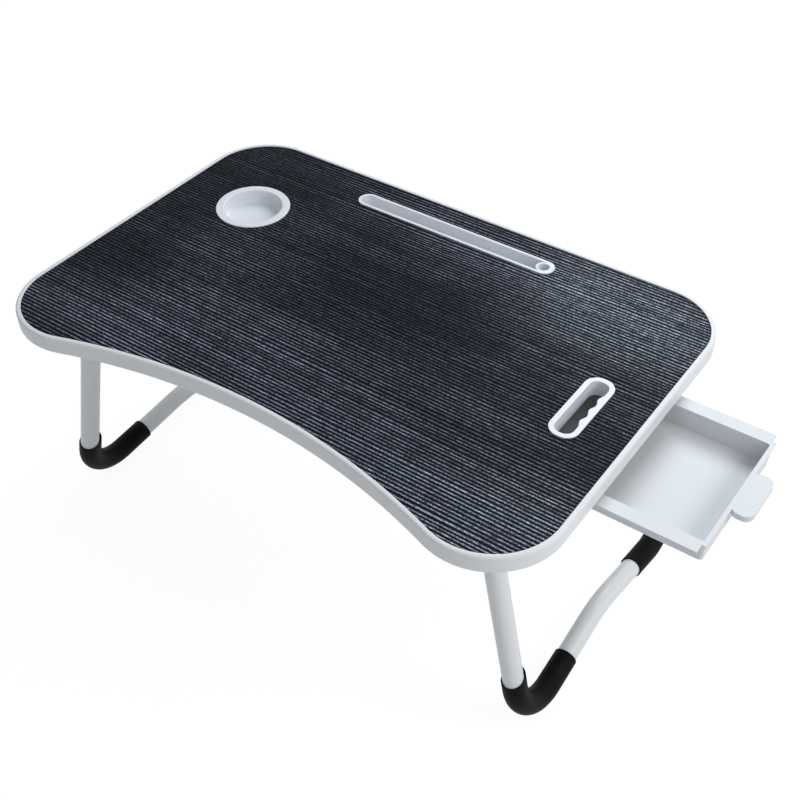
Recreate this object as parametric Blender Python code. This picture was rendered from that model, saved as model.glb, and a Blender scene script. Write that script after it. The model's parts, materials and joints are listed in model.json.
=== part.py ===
"""Folding laptop table: scooped top, cup ring, tablet slot, carry handle, side drawer, two folding legs.

World frame in metres: X runs along the table, Y to its back edge, Z up, and the floor is Z = 0.
X and Y are zero at the middle of the stand's outline, with the drawer drawn out as it is at rest.
"""

import math

import bmesh
import bpy
from mathutils import Matrix

# The whole stand
table_length = 0.600
table_waist_depth = 0.3655
stand_height = 0.280
back_corner_radius = 0.067
front_corner_radius = 0.069
front_scoop_radius = 0.630
corner_steps = 8
scoop_steps = 16
seat_gap = 0.0003
cut_overrun = 0.002
weld_distance = 0.00001
crease_degrees = 32.0

# Edge band: a U section pressed on to the rim of the board
band_height = 0.018
band_web = 0.002
band_lip_reach = 0.005
band_lip_thickness = 0.0012
band_edge_round = 0.0025
band_lip_chamfer = 0.0005
band_round_steps = 3

# Top laminate, glued to the board, with a clear area in its middle for what stands on it
laminate_thickness = 0.0008
rest_area_margin = 0.0040

# Moulded inserts in the top
insert_flange_thickness = 0.0012
insert_chamfer = 0.0004
insert_wall = 0.0018
insert_floor = 0.0020
insert_hole_gap = 0.0004

# Cup ring
cup_from_left = 0.0980
cup_from_back = 0.1224
cup_flange_radius = 0.0396
cup_inner_radius = 0.0310
cup_sides = 32

# Tablet slot with a pen hole at its right end
slot_centre_x = 0.0010
slot_from_back = 0.0419
slot_length = 0.2390
slot_width = 0.0220
slot_rim = 0.0030
slot_wall = 0.0013
pen_hole_radius = 0.0058
pen_ring_radius = 0.0084
slot_end_steps = 8
pen_hole_sides = 20

# Carry handle: an opening with finger bumps on its outboard side
handle_from_right = 0.0587
handle_width = 0.0285
handle_length = 0.0875
handle_corner_radius = 0.0130
handle_rim = 0.0050
handle_bump_pitch = 0.0165
handle_bump_height = 0.0025
handle_bump_count = 3
handle_bump_steps = 6
handle_corner_steps = 5

# Folding legs: one bent tube each
pivot_from_end = 0.0682
pivot_from_back = 0.0462
pivot_from_front = 0.0660
foot_splay = 0.0070
leg_lean_degrees = 12.6
tube_radius = 0.0100
tube_wall = 0.0012
tube_end_above_pivot = 0.0090
tube_swing_clearance = 0.00075
foot_bend_radius = 0.0450
middle_rise = 0.0150
middle_bend_radius = 0.1500
tube_sides = 16
foot_bend_steps = 7
middle_bend_steps = 2

# Rubber foot covers
cover_wall = 0.0015
cover_up_leg = 0.0600
cover_past_bend = 0.0400
cover_slant_degrees = 16.0
cover_slant_run = 0.0060

# Pivot pins
pin_radius = 0.0030
pin_head_radius = 0.0050
pin_head_height = 0.0015
pin_head_chamfer = 0.0005
pin_clearance = 0.0003
pin_sides = 12

# Leg brackets
bracket_plate = 0.0025
bracket_ear = 0.0025
bracket_side_gap = 0.0003
bracket_foot_reach = 0.0088
bracket_inboard = 0.0200
bracket_outboard = 0.0220
bracket_boss_radius = 0.0085
bracket_boss_steps = 5
bracket_boss_end_degrees = 255.0
bracket_corner_steps = 2
stop_start = 0.0140
stop_length = 0.0100
stop_thickness = 0.0026
stop_margin = 0.0012

# Pan-head screws
screw_head_radius = 0.0030
screw_head_height = 0.0018
screw_head_chamfer = 0.0006
screw_shank_radius = 0.0015
screw_bite = 0.0080
screw_clearance = 0.0004
screw_sides = 6
screw_edge_margin = 0.0046

# Drawer
drawer_out_at_rest = 0.0925
drawer_travel_out = 0.0650
drawer_rim_gap = 0.0035
drawer_length = 0.2300
drawer_centre_y = 0.0045
drawer_flange_reach = 0.0118
drawer_flange_thickness = 0.0022
drawer_notch_reach = 0.0095
drawer_wall = 0.0020
drawer_front_wall = 0.0037
drawer_end_lip = 0.0008
drawer_depth = 0.0230
drawer_floor = 0.0020
drawer_body_corner = 0.0040
drawer_flange_corner = 0.0040
drawer_corner_steps = 4
drawer_draft = 0.0010

# Pull tab on the drawer's front
tab_width = 0.0540
tab_reach = 0.0180
tab_corner_radius = 0.0085
tab_thickness = 0.0024
tab_skirt = 0.0060
tab_root = 0.0020
tab_step = 0.0004
tab_offset_y = 0.0025
tab_corner_steps = 5

# Drawer rails: Z sections under the board, as far apart as the right leg's brackets leave room for
rail_bracket_gap = 0.0233
rail_thickness = 0.0020
rail_side_gap = 0.0006
rail_lip_reach = 0.0060
rail_foot_reach = 0.0110
rail_front_setback = 0.0100
rail_end_wall = 0.0020
rail_screw_inset = 0.0250
rail_screw_count = 3
catch_length = 0.0040
catch_reach = 0.0040
catch_under_gap = 0.0005
catch_over_gap = 0.0008

# Levels that follow from the sizes above
band_bottom = stand_height - band_height
laminate_top = stand_height - band_lip_thickness - seat_gap
laminate_bottom = laminate_top - laminate_thickness
board_top = laminate_bottom - seat_gap
board_bottom = band_bottom + band_lip_thickness + seat_gap
board_inset = band_web + seat_gap
insert_flange_bottom = laminate_top + seat_gap
insert_flange_top = insert_flange_bottom + insert_flange_thickness
bracket_top = board_bottom - seat_gap
bracket_underside = bracket_top - bracket_plate
drawer_rim = band_bottom - drawer_rim_gap
drawer_flange_bottom = drawer_rim - drawer_flange_thickness
drawer_bottom = drawer_rim - drawer_depth

# Plan of the top
scoop_centre_from_back = table_waist_depth + front_scoop_radius
front_corner_x = table_length / 2 - front_corner_radius
front_corner_from_back = scoop_centre_from_back - math.sqrt(
    (front_scoop_radius + front_corner_radius) ** 2 - front_corner_x**2
)
table_depth = front_corner_from_back + front_corner_radius
back_y = table_depth / 2
front_corner_y = back_y - front_corner_from_back
scoop_centre_y = back_y - scoop_centre_from_back
top_middle_x = -(drawer_out_at_rest + tab_reach) / 2
left_x = top_middle_x - table_length / 2
right_x = top_middle_x + table_length / 2
cup_place = (left_x + cup_from_left, back_y - cup_from_back)
slot_place = (top_middle_x + slot_centre_x, back_y - slot_from_back)
handle_place = (right_x - handle_from_right, 0.0)
cup_wall_radius = cup_inner_radius + insert_wall

# Legs
pivot_spread = table_depth - pivot_from_back - pivot_from_front
foot_spread = pivot_spread + 2 * foot_splay
legs_centre_y = (pivot_from_front - pivot_from_back) / 2
leg_lean = math.radians(leg_lean_degrees)
cover_inner_radius = tube_radius + seat_gap
cover_outer_radius = cover_inner_radius + cover_wall
tube_end_swing = math.hypot(tube_end_above_pivot, tube_radius)
pivot_height = bracket_underside - tube_swing_clearance - tube_end_swing
ground_radius = cover_outer_radius * math.cos(math.pi / tube_sides)
leg_reach = (pivot_height - ground_radius) / math.cos(leg_lean)
foot_centre = (foot_bend_radius - foot_spread / 2, foot_bend_radius - leg_reach)
ear_low_end = stop_start + stop_length + stop_margin
splay_at_ear_end = ear_low_end * foot_splay / (leg_reach - foot_bend_radius)
ear_inner_y = tube_radius + splay_at_ear_end + bracket_side_gap
ear_outer_y = ear_inner_y + bracket_ear
bracket_half_y = ear_outer_y + bracket_foot_reach

# Rails, and the drawer between them
front_bracket_edge_y = legs_centre_y - pivot_spread / 2 + bracket_half_y
rail_foot_y = drawer_centre_y - front_bracket_edge_y - rail_bracket_gap
rail_web_y = rail_foot_y - rail_foot_reach - rail_thickness
drawer_flange_y = rail_web_y - rail_side_gap
drawer_outer_y = drawer_flange_y - drawer_flange_reach
drawer_inner_y = drawer_outer_y - drawer_wall
drawer_front_x = right_x + drawer_out_at_rest
drawer_back_x = drawer_front_x - drawer_length
drawer_middle = (drawer_front_x - drawer_length / 2, drawer_centre_y)
rail_front_x = right_x - rail_front_setback
rail_back_x = drawer_back_x - drawer_out_at_rest - seat_gap
rail_lip_top = drawer_flange_bottom - seat_gap


def clear_scene():
    """Removes whatever the scene holds."""
    for thing in list(bpy.data.objects):
        bpy.data.objects.remove(thing)


def finish(name, colour, roughness, metallic=0.0):
    """A plain finish with a colour, a roughness and a metallic value."""
    made = bpy.data.materials.new(name)
    made.use_nodes = True
    shader = made.node_tree.nodes["Principled BSDF"]
    shader.inputs["Base Color"].default_value = (*colour, 1.0)
    shader.inputs["Roughness"].default_value = roughness
    shader.inputs["Metallic"].default_value = metallic
    return made


def mesh_from(name, bm):
    """A mesh with outward faces, smooth except at its edges."""
    bmesh.ops.recalc_face_normals(bm, faces=bm.faces)
    mesh = bpy.data.meshes.new(name)
    bm.to_mesh(mesh)
    bm.free()
    mesh.shade_smooth()
    mesh.set_sharp_from_angle(angle=math.radians(crease_degrees))
    return mesh


def place(name, mesh, material, parent=None):
    """A named object for a mesh, with its finish."""
    piece = bpy.data.objects.new(name, mesh)
    if material.name not in mesh.materials:
        mesh.materials.append(material)
    piece.parent = parent
    bpy.context.scene.collection.objects.link(piece)
    return piece


def tool_body(name, bm, parent=None):
    """A body that only cuts or joins another piece."""
    tool = bpy.data.objects.new(name, mesh_from(name, bm))
    tool.parent = parent
    tool.hide_render = True
    tool.display_type = "WIRE"
    bpy.context.scene.collection.objects.link(tool)
    return tool


def shape_with(piece, operation, tool):
    """Cuts the tool out of the piece, or joins it on."""
    change = piece.modifiers.new(tool.name, "BOOLEAN")
    change.operation = operation
    change.solver = "EXACT"
    change.object = tool


def settled_mesh(piece):
    """The mesh of a piece with its cuts and joints made; the piece and its tools go."""
    bpy.context.view_layer.update()
    graph = bpy.context.evaluated_depsgraph_get()
    mesh = bpy.data.meshes.new_from_object(piece.evaluated_get(graph))
    for tool in [change.object for change in piece.modifiers]:
        bpy.data.objects.remove(tool)
    bpy.data.objects.remove(piece)
    return mesh


def mirrored(mesh, axis):
    """A mirror image of a mesh, with its faces still pointing out."""
    image = mesh.copy()
    image.transform(Matrix.Scale(-1, 4, axis))
    image.flip_normals()
    return image


def joint_empty(name, spot, lean=0.0):
    """An empty on a joint's axis, turned about Y by the lean."""
    empty = bpy.data.objects.new(name, None)
    empty.location = spot
    empty.rotation_euler = (0.0, lean, 0.0)
    bpy.context.scene.collection.objects.link(empty)
    return empty


def arc(centre, radius, start, end, steps):
    """Points on an arc, both ends included, for angles in radians."""
    angles = [start + (end - start) * k / steps for k in range(steps + 1)]
    return [(centre[0] + radius * math.cos(a), centre[1] + radius * math.sin(a)) for a in angles]


def circle(centre, radius, sides):
    """The corners of a round outline."""
    return arc(centre, radius, 0.0, math.tau, sides)[:-1]


def rounded_rectangle(centre, half_x, half_y, radius, steps):
    """A rectangle with round corners, counter-clockwise from its right side's top end."""
    points = []
    for k, (side_x, side_y) in enumerate(((1, 1), (-1, 1), (-1, -1), (1, -1))):
        corner_x = centre[0] + side_x * (half_x - radius)
        corner_y = centre[1] + side_y * (half_y - radius)
        start = k * math.pi / 2
        points += arc((corner_x, corner_y), radius, start, start + math.pi / 2, steps)
    return points


def level(points, height):
    """A flat outline lifted to a height."""
    return [(x, y, height) for x, y in points]


def add_skin(bm, rings, closed=False):
    """Skins rings of equal length; an open run of rings gets a cap at each end."""
    loops = [[bm.verts.new(point) for point in ring] for ring in rings]
    pairs = list(zip(loops, loops[1:]))
    if closed:
        pairs.append((loops[-1], loops[0]))
    for low, high in pairs:
        for k in range(len(low)):
            following = (k + 1) % len(low)
            bm.faces.new((low[k], low[following], high[following], high[k]))
    if not closed:
        bm.faces.new(list(reversed(loops[0])))
        bm.faces.new(loops[-1])


def add_prism(bm, points, low, high):
    """A flat outline raised from one height to another."""
    add_skin(bm, [level(points, low), level(points, high)])


def add_block(bm, low, high):
    """A block between two corners."""
    outline = [(low[0], low[1]), (high[0], low[1]), (high[0], high[1]), (low[0], high[1])]
    add_prism(bm, outline, low[2], high[2])


def add_side_prism(bm, profile, near_y, far_y):
    """An outline in X and Z that runs along Y."""
    add_skin(bm, [[(x, y, z) for x, z in profile] for y in (near_y, far_y)])


def add_cross_prism(bm, profile, low_x, high_x):
    """An outline in Y and Z that runs along X."""
    add_skin(bm, [[(x, y, z) for y, z in profile] for x in (low_x, high_x)])


def spun(profile, sides):
    """A closed body spun about the upright axis from a profile of radius and height."""
    bm = bmesh.new()
    points = [bm.verts.new((radius, 0.0, height)) for radius, height in profile]
    edges = [bm.edges.new(pair) for pair in zip(points, points[1:])]
    bmesh.ops.spin(
        bm,
        geom=points + edges,
        cent=(0.0, 0.0, 0.0),
        axis=(0.0, 0.0, 1.0),
        angle=math.tau,
        steps=sides,
        use_merge=True,
    )
    bmesh.ops.remove_doubles(bm, verts=bm.verts, dist=weld_distance)
    return bm


def spun_along_y(profile, sides):
    """A closed body spun about the Y axis from a profile of radius and reach along Y."""
    bm = spun(profile, sides)
    bmesh.ops.rotate(bm, matrix=Matrix.Rotation(-math.pi / 2, 3, "X"), verts=bm.verts)
    return bm


def pin_drill(reach):
    """A bar along Y, through the middle, as wide as a hole for a pivot pin."""
    radius = pin_radius + pin_clearance
    return spun_along_y([(0.0, -reach), (radius, -reach), (radius, reach), (0.0, reach)], pin_sides)


def front_corner(centre_x, radius, turns):
    """A front corner in two arcs that meet at the corner's foremost point."""
    points = []
    for start, end in zip(turns, turns[1:]):
        steps = math.ceil(corner_steps * (end - start) / math.pi)
        points += arc((centre_x, front_corner_y), radius, start, end, steps)[1 if points else 0 :]
    return points


def tabletop_outline(inset):
    """The top's outline moved inwards: four round corners and a scooped front edge."""
    back_x = table_length / 2 - back_corner_radius
    back_corner_y = back_y - back_corner_radius
    reach = math.atan2(front_corner_y - scoop_centre_y, front_corner_x)
    back = back_corner_radius - inset
    front = front_corner_radius - inset
    scoop = front_scoop_radius + inset
    points = arc((back_x, back_corner_y), back, 0.0, math.pi / 2, corner_steps)
    points += arc((-back_x, back_corner_y), back, math.pi / 2, math.pi, corner_steps)
    points += front_corner(-front_corner_x, front, (math.pi, 3 * math.pi / 2, math.tau - reach))
    points += arc((0.0, scoop_centre_y), scoop, math.pi - reach, reach, scoop_steps)[1:-1]
    points += front_corner(front_corner_x, front, (math.pi + reach, 3 * math.pi / 2, math.tau))
    return [(x + top_middle_x, y) for x, y in points]


def slot_outline(inset):
    """The tablet slot's outline with full-round ends, moved inwards."""
    radius = slot_width / 2 - inset
    reach = slot_length / 2 - slot_width / 2
    right = (slot_place[0] + reach, slot_place[1])
    left = (slot_place[0] - reach, slot_place[1])
    points = arc(right, radius, -math.pi / 2, math.pi / 2, slot_end_steps)
    return points + arc(left, radius, math.pi / 2, 3 * math.pi / 2, slot_end_steps)


def handle_outline(inset, bump=0.0):
    """The handle's outline moved inwards, with finger bumps along its outboard side."""
    half_x = handle_width / 2 - inset
    half_y = handle_length / 2 - inset
    radius = handle_corner_radius - inset
    points = rounded_rectangle(handle_place, half_x, half_y, radius, handle_corner_steps)
    steps = handle_bump_count * handle_bump_steps
    span = handle_bump_count * handle_bump_pitch
    for k in range(steps + 1):
        swell = (1 - math.cos(math.tau * k / handle_bump_steps)) / 2
        x = handle_place[0] + half_x - bump * swell
        points.append((x, handle_place[1] + span * (k / steps - 1 / 2)))
    return points


def top_openings():
    """The holes through the board and the laminate for the three inserts."""
    bm = bmesh.new()
    low, high = board_bottom - cut_overrun, laminate_top + cut_overrun
    add_prism(bm, circle(cup_place, cup_wall_radius + insert_hole_gap, cup_sides), low, high)
    add_prism(bm, slot_outline(slot_rim - slot_wall - insert_hole_gap), low, high)
    add_prism(bm, handle_outline(handle_rim - insert_wall - insert_hole_gap), low, high)
    return tool_body("top_openings", bm)


def bracket_places():
    """Each leg bracket's end of the table, end of the leg, and pivot point."""
    for side in (-1, 1):
        for end in (-1, 1):
            x = top_middle_x + side * (table_length / 2 - pivot_from_end)
            y = legs_centre_y + end * pivot_spread / 2
            yield side, end, (x, y, pivot_height)


def side_name(side):
    """The name of an end of the table."""
    return "right" if side > 0 else "left"


def end_name(end):
    """The name of the front or the rear end of a leg, or of the front or rear rail."""
    return "rear" if end > 0 else "front"


def screw_corners():
    """Where a bracket's four screws stand, about its pivot with outboard at +X."""
    spread_y = bracket_half_y - screw_edge_margin
    xs = (screw_edge_margin - bracket_inboard, bracket_outboard - screw_edge_margin)
    return [(x, y) for x in xs for y in (-spread_y, spread_y)]


def bracket_screw_places():
    """Each leg bracket's name and where its screws stand."""
    for side, end, (x, y, _) in bracket_places():
        spots = [(x + side * step_x, y + step_y) for step_x, step_y in screw_corners()]
        yield f"{side_name(side)}_{end_name(end)}_bracket", spots


def rail_screw_row():
    """Where the rear rail's screws stand, about the drawer's middle line."""
    first = rail_back_x + rail_screw_inset
    pitch = (rail_front_x - rail_screw_inset - first) / (rail_screw_count - 1)
    foot_y = rail_web_y + rail_thickness + rail_foot_reach / 2
    return [(first + pitch * k, foot_y) for k in range(rail_screw_count)]


def rail_screw_places():
    """Each drawer rail's name and where its screws stand."""
    for end in (-1, 1):
        spots = [(x, drawer_centre_y + end * y) for x, y in rail_screw_row()]
        yield end_name(end) + "_rail", spots


def screw_hole(spot):
    """The outline of a hole that a screw's shank passes through."""
    return circle(spot, screw_shank_radius + screw_clearance, screw_sides)


def pilot_holes():
    """The blind holes in the underside of the board for all the screws."""
    bm = bmesh.new()
    low, high = board_bottom - cut_overrun, board_bottom + screw_bite + seat_gap
    for _, spots in [*bracket_screw_places(), *rail_screw_places()]:
        for spot in spots:
            add_prism(bm, screw_hole(spot), low, high)
    return tool_body("pilot_holes", bm)


def make_board(material, openings):
    """The wooden board that everything is fixed to."""
    bm = bmesh.new()
    add_prism(bm, tabletop_outline(board_inset), board_bottom, board_top)
    board = place("board", mesh_from("board", bm), material)
    shape_with(board, "DIFFERENCE", openings)
    shape_with(board, "DIFFERENCE", pilot_holes())


def rest_area():
    """The limits along X and Y of the clear area that the inserts and the front edge leave."""
    left = cup_place[0] + cup_flange_radius + rest_area_margin
    right = handle_place[0] - handle_width / 2 - rest_area_margin
    front = back_y - table_waist_depth + band_lip_reach + rest_area_margin
    back = slot_place[1] - slot_width / 2 - rest_area_margin
    return (left, right), (front, back)


def make_laminate(material, openings):
    """The wood-grain sheet on the board; the clear area is a face of its own."""
    bm = bmesh.new()
    add_prism(bm, tabletop_outline(board_inset), laminate_bottom, laminate_top)
    for normal, limits in zip(((1.0, 0.0, 0.0), (0.0, 1.0, 0.0)), rest_area()):
        for limit in limits:
            spot = [limit * part for part in normal]
            parts = [*bm.verts, *bm.edges, *bm.faces]
            bmesh.ops.bisect_plane(bm, geom=parts, plane_co=spot, plane_no=normal)
    laminate = place("top_laminate", mesh_from("top_laminate", bm), material)
    shape_with(laminate, "DIFFERENCE", openings)


def make_edge_band(material):
    """The U-shaped band all round the board, with a soft outer edge."""
    centre = band_edge_round
    upper = arc((centre, stand_height - centre), centre, math.pi, math.pi / 2, band_round_steps)
    lower = arc((centre, band_bottom + centre), centre, -math.pi / 2, -math.pi, band_round_steps)
    section = upper + [
        (band_lip_reach - band_lip_chamfer, stand_height),
        (band_lip_reach, stand_height - band_lip_chamfer),
        (band_lip_reach, stand_height - band_lip_thickness),
        (band_web, stand_height - band_lip_thickness),
        (band_web, band_bottom + band_lip_thickness),
        (band_lip_reach, band_bottom + band_lip_thickness),
        (band_lip_reach, band_bottom),
    ]
    bm = bmesh.new()
    add_skin(bm, [level(tabletop_outline(inset), z) for inset, z in section + lower], closed=True)
    place("edge_band", mesh_from("edge_band", bm), material)


def make_cup_holder(material):
    """The round recess for a cup: a flange, a wall and a floor in one turned shape."""
    profile = [
        (0.0, board_bottom),
        (cup_wall_radius, board_bottom),
        (cup_wall_radius, insert_flange_bottom),
        (cup_flange_radius, insert_flange_bottom),
        (cup_flange_radius, insert_flange_top - insert_chamfer),
        (cup_flange_radius - insert_chamfer, insert_flange_top),
        (cup_inner_radius + insert_chamfer, insert_flange_top),
        (cup_inner_radius, insert_flange_top - insert_chamfer),
        (cup_inner_radius, board_bottom + insert_floor),
        (0.0, board_bottom + insert_floor),
    ]
    bm = spun(profile, cup_sides)
    bmesh.ops.translate(bm, vec=(*cup_place, 0.0), verts=bm.verts)
    place("cup_holder", mesh_from("cup_holder", bm), material)


def trough_outline():
    """The slot's hollow: round at its left end, and hollowed round the pen hole at its right."""
    half_width = slot_width / 2 - slot_rim
    left_centre_x = slot_place[0] - slot_length / 2 + slot_width / 2
    bite = math.pi - math.asin(half_width / pen_ring_radius)
    left = (left_centre_x, slot_place[1])
    points = arc(left, half_width, math.pi / 2, 3 * math.pi / 2, slot_end_steps)
    return points + arc(pen_place(), pen_ring_radius, math.tau - bite, bite, slot_end_steps)


def pen_place():
    """The middle of the pen hole."""
    return (slot_place[0] + slot_length / 2 - slot_width / 2, slot_place[1])


def make_tablet_slot(material):
    """The long insert that a tablet stands in, with a hole for a pen."""
    body = slot_rim - slot_wall
    bm = bmesh.new()
    rings = [
        level(slot_outline(body), board_bottom),
        level(slot_outline(body), insert_flange_bottom),
        level(slot_outline(0.0), insert_flange_bottom),
        level(slot_outline(0.0), insert_flange_top - insert_chamfer),
        level(slot_outline(insert_chamfer), insert_flange_top),
    ]
    add_skin(bm, rings)
    slot = place("tablet_slot", mesh_from("tablet_slot", bm), material)
    hollow = bmesh.new()
    low, high = board_bottom + insert_floor, insert_flange_top + cut_overrun
    add_prism(hollow, trough_outline(), low, high)
    add_prism(hollow, circle(pen_place(), pen_hole_radius, pen_hole_sides), low, high)
    shape_with(slot, "DIFFERENCE", tool_body("slot_hollow", hollow))


def make_handle_insert(material):
    """The lining of the carry handle's opening, with finger bumps."""
    body = handle_rim - insert_wall
    rings = [
        level(handle_outline(body), board_bottom),
        level(handle_outline(body), insert_flange_bottom),
        level(handle_outline(0.0), insert_flange_bottom),
        level(handle_outline(0.0), insert_flange_top - insert_chamfer),
        level(handle_outline(insert_chamfer), insert_flange_top),
        level(handle_outline(handle_rim - insert_chamfer, handle_bump_height), insert_flange_top),
        level(handle_outline(handle_rim, handle_bump_height), insert_flange_top - insert_chamfer),
        level(handle_outline(handle_rim, handle_bump_height), board_bottom),
    ]
    bm = bmesh.new()
    add_skin(bm, rings, closed=True)
    place("handle_insert", mesh_from("handle_insert", bm), material)


def touch_angle(point, centre, radius, way):
    """The angle at which a line from a point touches a circle, on the side that way picks."""
    off_y, off_z = point[0] - centre[0], point[1] - centre[1]
    return math.atan2(off_z, off_y) + way * math.acos(radius / math.hypot(off_y, off_z))


def bend_angles():
    """The foot bend's start, lowest point and end, as angles about its centre."""
    start = touch_angle((-pivot_spread / 2, 0.0), foot_centre, foot_bend_radius, 1)
    end = touch_angle((0.0, middle_rise - leg_reach), foot_centre, foot_bend_radius, -1)
    return start, 3 * math.pi / 2, end + math.tau


def foot_bend():
    """Stations of y, z and heading round the front foot's bend, with one at its lowest point."""
    start, lowest, end = bend_angles()
    turns = [start + (lowest - start) * k / foot_bend_steps for k in range(foot_bend_steps + 1)]
    stations = []
    for turn in turns + [end]:
        y = foot_centre[0] + foot_bend_radius * math.cos(turn)
        z = foot_centre[1] + foot_bend_radius * math.sin(turn)
        stations.append((y, z, turn + math.pi / 2))
    return stations


def middle_bend(rise_heading):
    """Stations up to the crest in the middle of the foot run."""
    crest = middle_rise - leg_reach
    centre_z = crest - middle_bend_radius / math.cos(rise_heading)
    stations = []
    for k in range(middle_bend_steps + 1):
        heading = rise_heading * (1 - k / middle_bend_steps)
        y = -middle_bend_radius * math.sin(heading)
        z = centre_z + middle_bend_radius * math.cos(heading)
        stations.append((y, z, heading))
    return stations


def leg_stations():
    """The whole leg's centre line in its own plane, from the front top end to the rear one."""
    bend = foot_bend()
    heading = bend[0][2]
    top_y = -pivot_spread / 2 - tube_end_above_pivot * math.cos(heading)
    top_z = -tube_end_above_pivot * math.sin(heading)
    half = [(top_y, top_z, heading)] + bend + middle_bend(bend[-1][2] - math.tau)
    rear = [(-y, z, -heading) for y, z, heading in reversed(half[:-1])]
    return half + rear


def cover_stations():
    """The part of the centre line that a front foot cover sleeves."""
    bend = foot_bend()
    down = bend[0][2]
    mouth_z = cover_up_leg - leg_reach
    stations = []
    for z in (mouth_z, mouth_z - cover_slant_run):
        y = bend[0][0] + (z - bend[0][1]) / math.tan(down)
        stations.append((y, z, down))
    out = bend[-1][2]
    end_y = foot_centre[0] + cover_past_bend
    end_z = bend[-1][1] + (end_y - bend[-1][0]) * math.tan(out)
    return stations + bend + [(end_y, end_z, out)]


def tube_ring(station, radius, phase, slant=0.0):
    """A ring across the centre line; a slant tips it along the line towards the bend's inside."""
    y, z, heading = station
    along = (math.cos(heading), math.sin(heading))
    outward = (along[1], -along[0])
    ring = []
    for k in range(tube_sides):
        angle = phase + math.tau * k / tube_sides
        side, out = radius * math.cos(angle), radius * math.sin(angle)
        ring_y = y + out * (outward[0] + slant * along[0])
        ring_z = z + out * (outward[1] + slant * along[1])
        ring.append((side, ring_y, ring_z))
    return ring


def add_tube(bm, stations, outer, inner, phase, slants):
    """A hollow tube along the stations, its wall closed at both mouths."""
    pairs = list(zip(stations, slants))
    rings = [tube_ring(station, outer, phase, slant) for station, slant in pairs]
    rings += [tube_ring(station, inner, phase, slant) for station, slant in reversed(pairs)]
    add_skin(bm, rings, closed=True)


def ring_phase(side):
    """Turns the tube's corners so that a flat between two of them faces the floor."""
    return math.pi / tube_sides + side * leg_lean


def make_leg(side, name, tube_finish, cover_finish):
    """One folding leg: a bent tube with a rubber cover on each foot, hung from its pivot."""
    x = top_middle_x + side * (table_length / 2 - pivot_from_end)
    pivot = joint_empty(name + "_pivot", (x, legs_centre_y, pivot_height), -side * leg_lean)
    stations = leg_stations()
    bm = bmesh.new()
    inner = tube_radius - tube_wall
    add_tube(bm, stations, tube_radius, inner, ring_phase(side), [0.0] * len(stations))
    tube = place(name + "_tube", mesh_from(name + "_tube", bm), tube_finish, pivot)
    drill = pin_drill(pivot_spread / 2 + tube_radius + cut_overrun)
    shape_with(tube, "DIFFERENCE", tool_body(name + "_pin_holes", drill, pivot))
    for end in (-1, 1):
        make_foot_cover(side, end, f"{name}_{end_name(end)}_foot_cover", cover_finish, pivot)


def make_foot_cover(side, end, name, material, pivot):
    """A rubber sleeve round a foot bend; the rear one is the front one's mirror image."""
    stations = cover_stations()
    slants = [math.tan(math.radians(cover_slant_degrees))] + [0.0] * (len(stations) - 1)
    bm = bmesh.new()
    add_tube(bm, stations, cover_outer_radius, cover_inner_radius, ring_phase(side), slants)
    mesh = mesh_from(name, bm)
    if end > 0:
        mesh = mirrored(mesh, (0.0, 1.0, 0.0))
    place(name, mesh, material, pivot)


def leg_point(along, out):
    """A point in a bracket's side view, from its pivot: along the open leg and outboard of it."""
    x = along * math.sin(leg_lean) + out * math.cos(leg_lean)
    z = -along * math.cos(leg_lean) + out * math.sin(leg_lean)
    return (x, z)


def bracket_mesh():
    """A leg bracket about its pivot, with outboard at +X: a screwed plate, two ears and a stop bar."""
    plate_top = bracket_top - pivot_height
    plate_low = bracket_underside - pivot_height
    bm = bmesh.new()
    outline = rounded_rectangle(
        ((bracket_outboard - bracket_inboard) / 2, 0.0),
        (bracket_outboard + bracket_inboard) / 2,
        bracket_half_y,
        screw_edge_margin,
        bracket_corner_steps,
    )
    add_prism(bm, outline, plate_low, plate_top)
    bracket = bpy.data.objects.new("bracket", mesh_from("bracket", bm))
    bpy.context.scene.collection.objects.link(bracket)
    shape_with(bracket, "UNION", bracket_ears(plate_low + bracket_plate / 2))
    shape_with(bracket, "UNION", bracket_stop())
    shape_with(bracket, "DIFFERENCE", bracket_holes(plate_low, plate_top))
    return settled_mesh(bracket)


def bracket_ears(root):
    """The two ears that hold the pin, reaching down past the stop."""
    face = tube_radius + seat_gap
    profile = [(-bracket_boss_radius, root)]
    boss_end = math.radians(bracket_boss_end_degrees)
    profile += arc((0.0, 0.0), bracket_boss_radius, math.pi, boss_end, bracket_boss_steps)
    back = face + stop_thickness + stop_margin
    profile += [leg_point(ear_low_end, face - stop_margin), leg_point(ear_low_end, back)]
    profile += [leg_point(stop_start, back)]
    profile += [(bracket_outboard - stop_margin, root)]
    bm = bmesh.new()
    for way in (-1, 1):
        low, high = sorted((way * ear_inner_y, way * ear_outer_y))
        add_side_prism(bm, profile, low, high)
    return tool_body("bracket_ears", bm)


def bracket_stop():
    """The bar between the ears that the open leg leans on."""
    face = tube_radius + seat_gap
    back, end = face + stop_thickness, stop_start + stop_length
    corners = ((stop_start, face), (end, face), (end, back), (stop_start, back))
    bm = bmesh.new()
    reach = (ear_inner_y + ear_outer_y) / 2
    add_side_prism(bm, [leg_point(*corner) for corner in corners], -reach, reach)
    return tool_body("bracket_stop", bm)


def bracket_holes(plate_low, plate_top):
    """The pin's hole through both ears and the four screw holes."""
    bm = pin_drill(ear_outer_y + cut_overrun)
    for spot in screw_corners():
        add_prism(bm, screw_hole(spot), plate_low - cut_overrun, plate_top + cut_overrun)
    return tool_body("bracket_holes", bm)


def make_brackets(material):
    """The four leg brackets: two alike for each end of the table."""
    right = bracket_mesh()
    left = mirrored(right, (1.0, 0.0, 0.0))
    for side, end, spot in bracket_places():
        name = f"{side_name(side)}_{end_name(end)}_leg_bracket"
        bracket = place(name, right if side > 0 else left, material)
        bracket.location = spot


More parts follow.
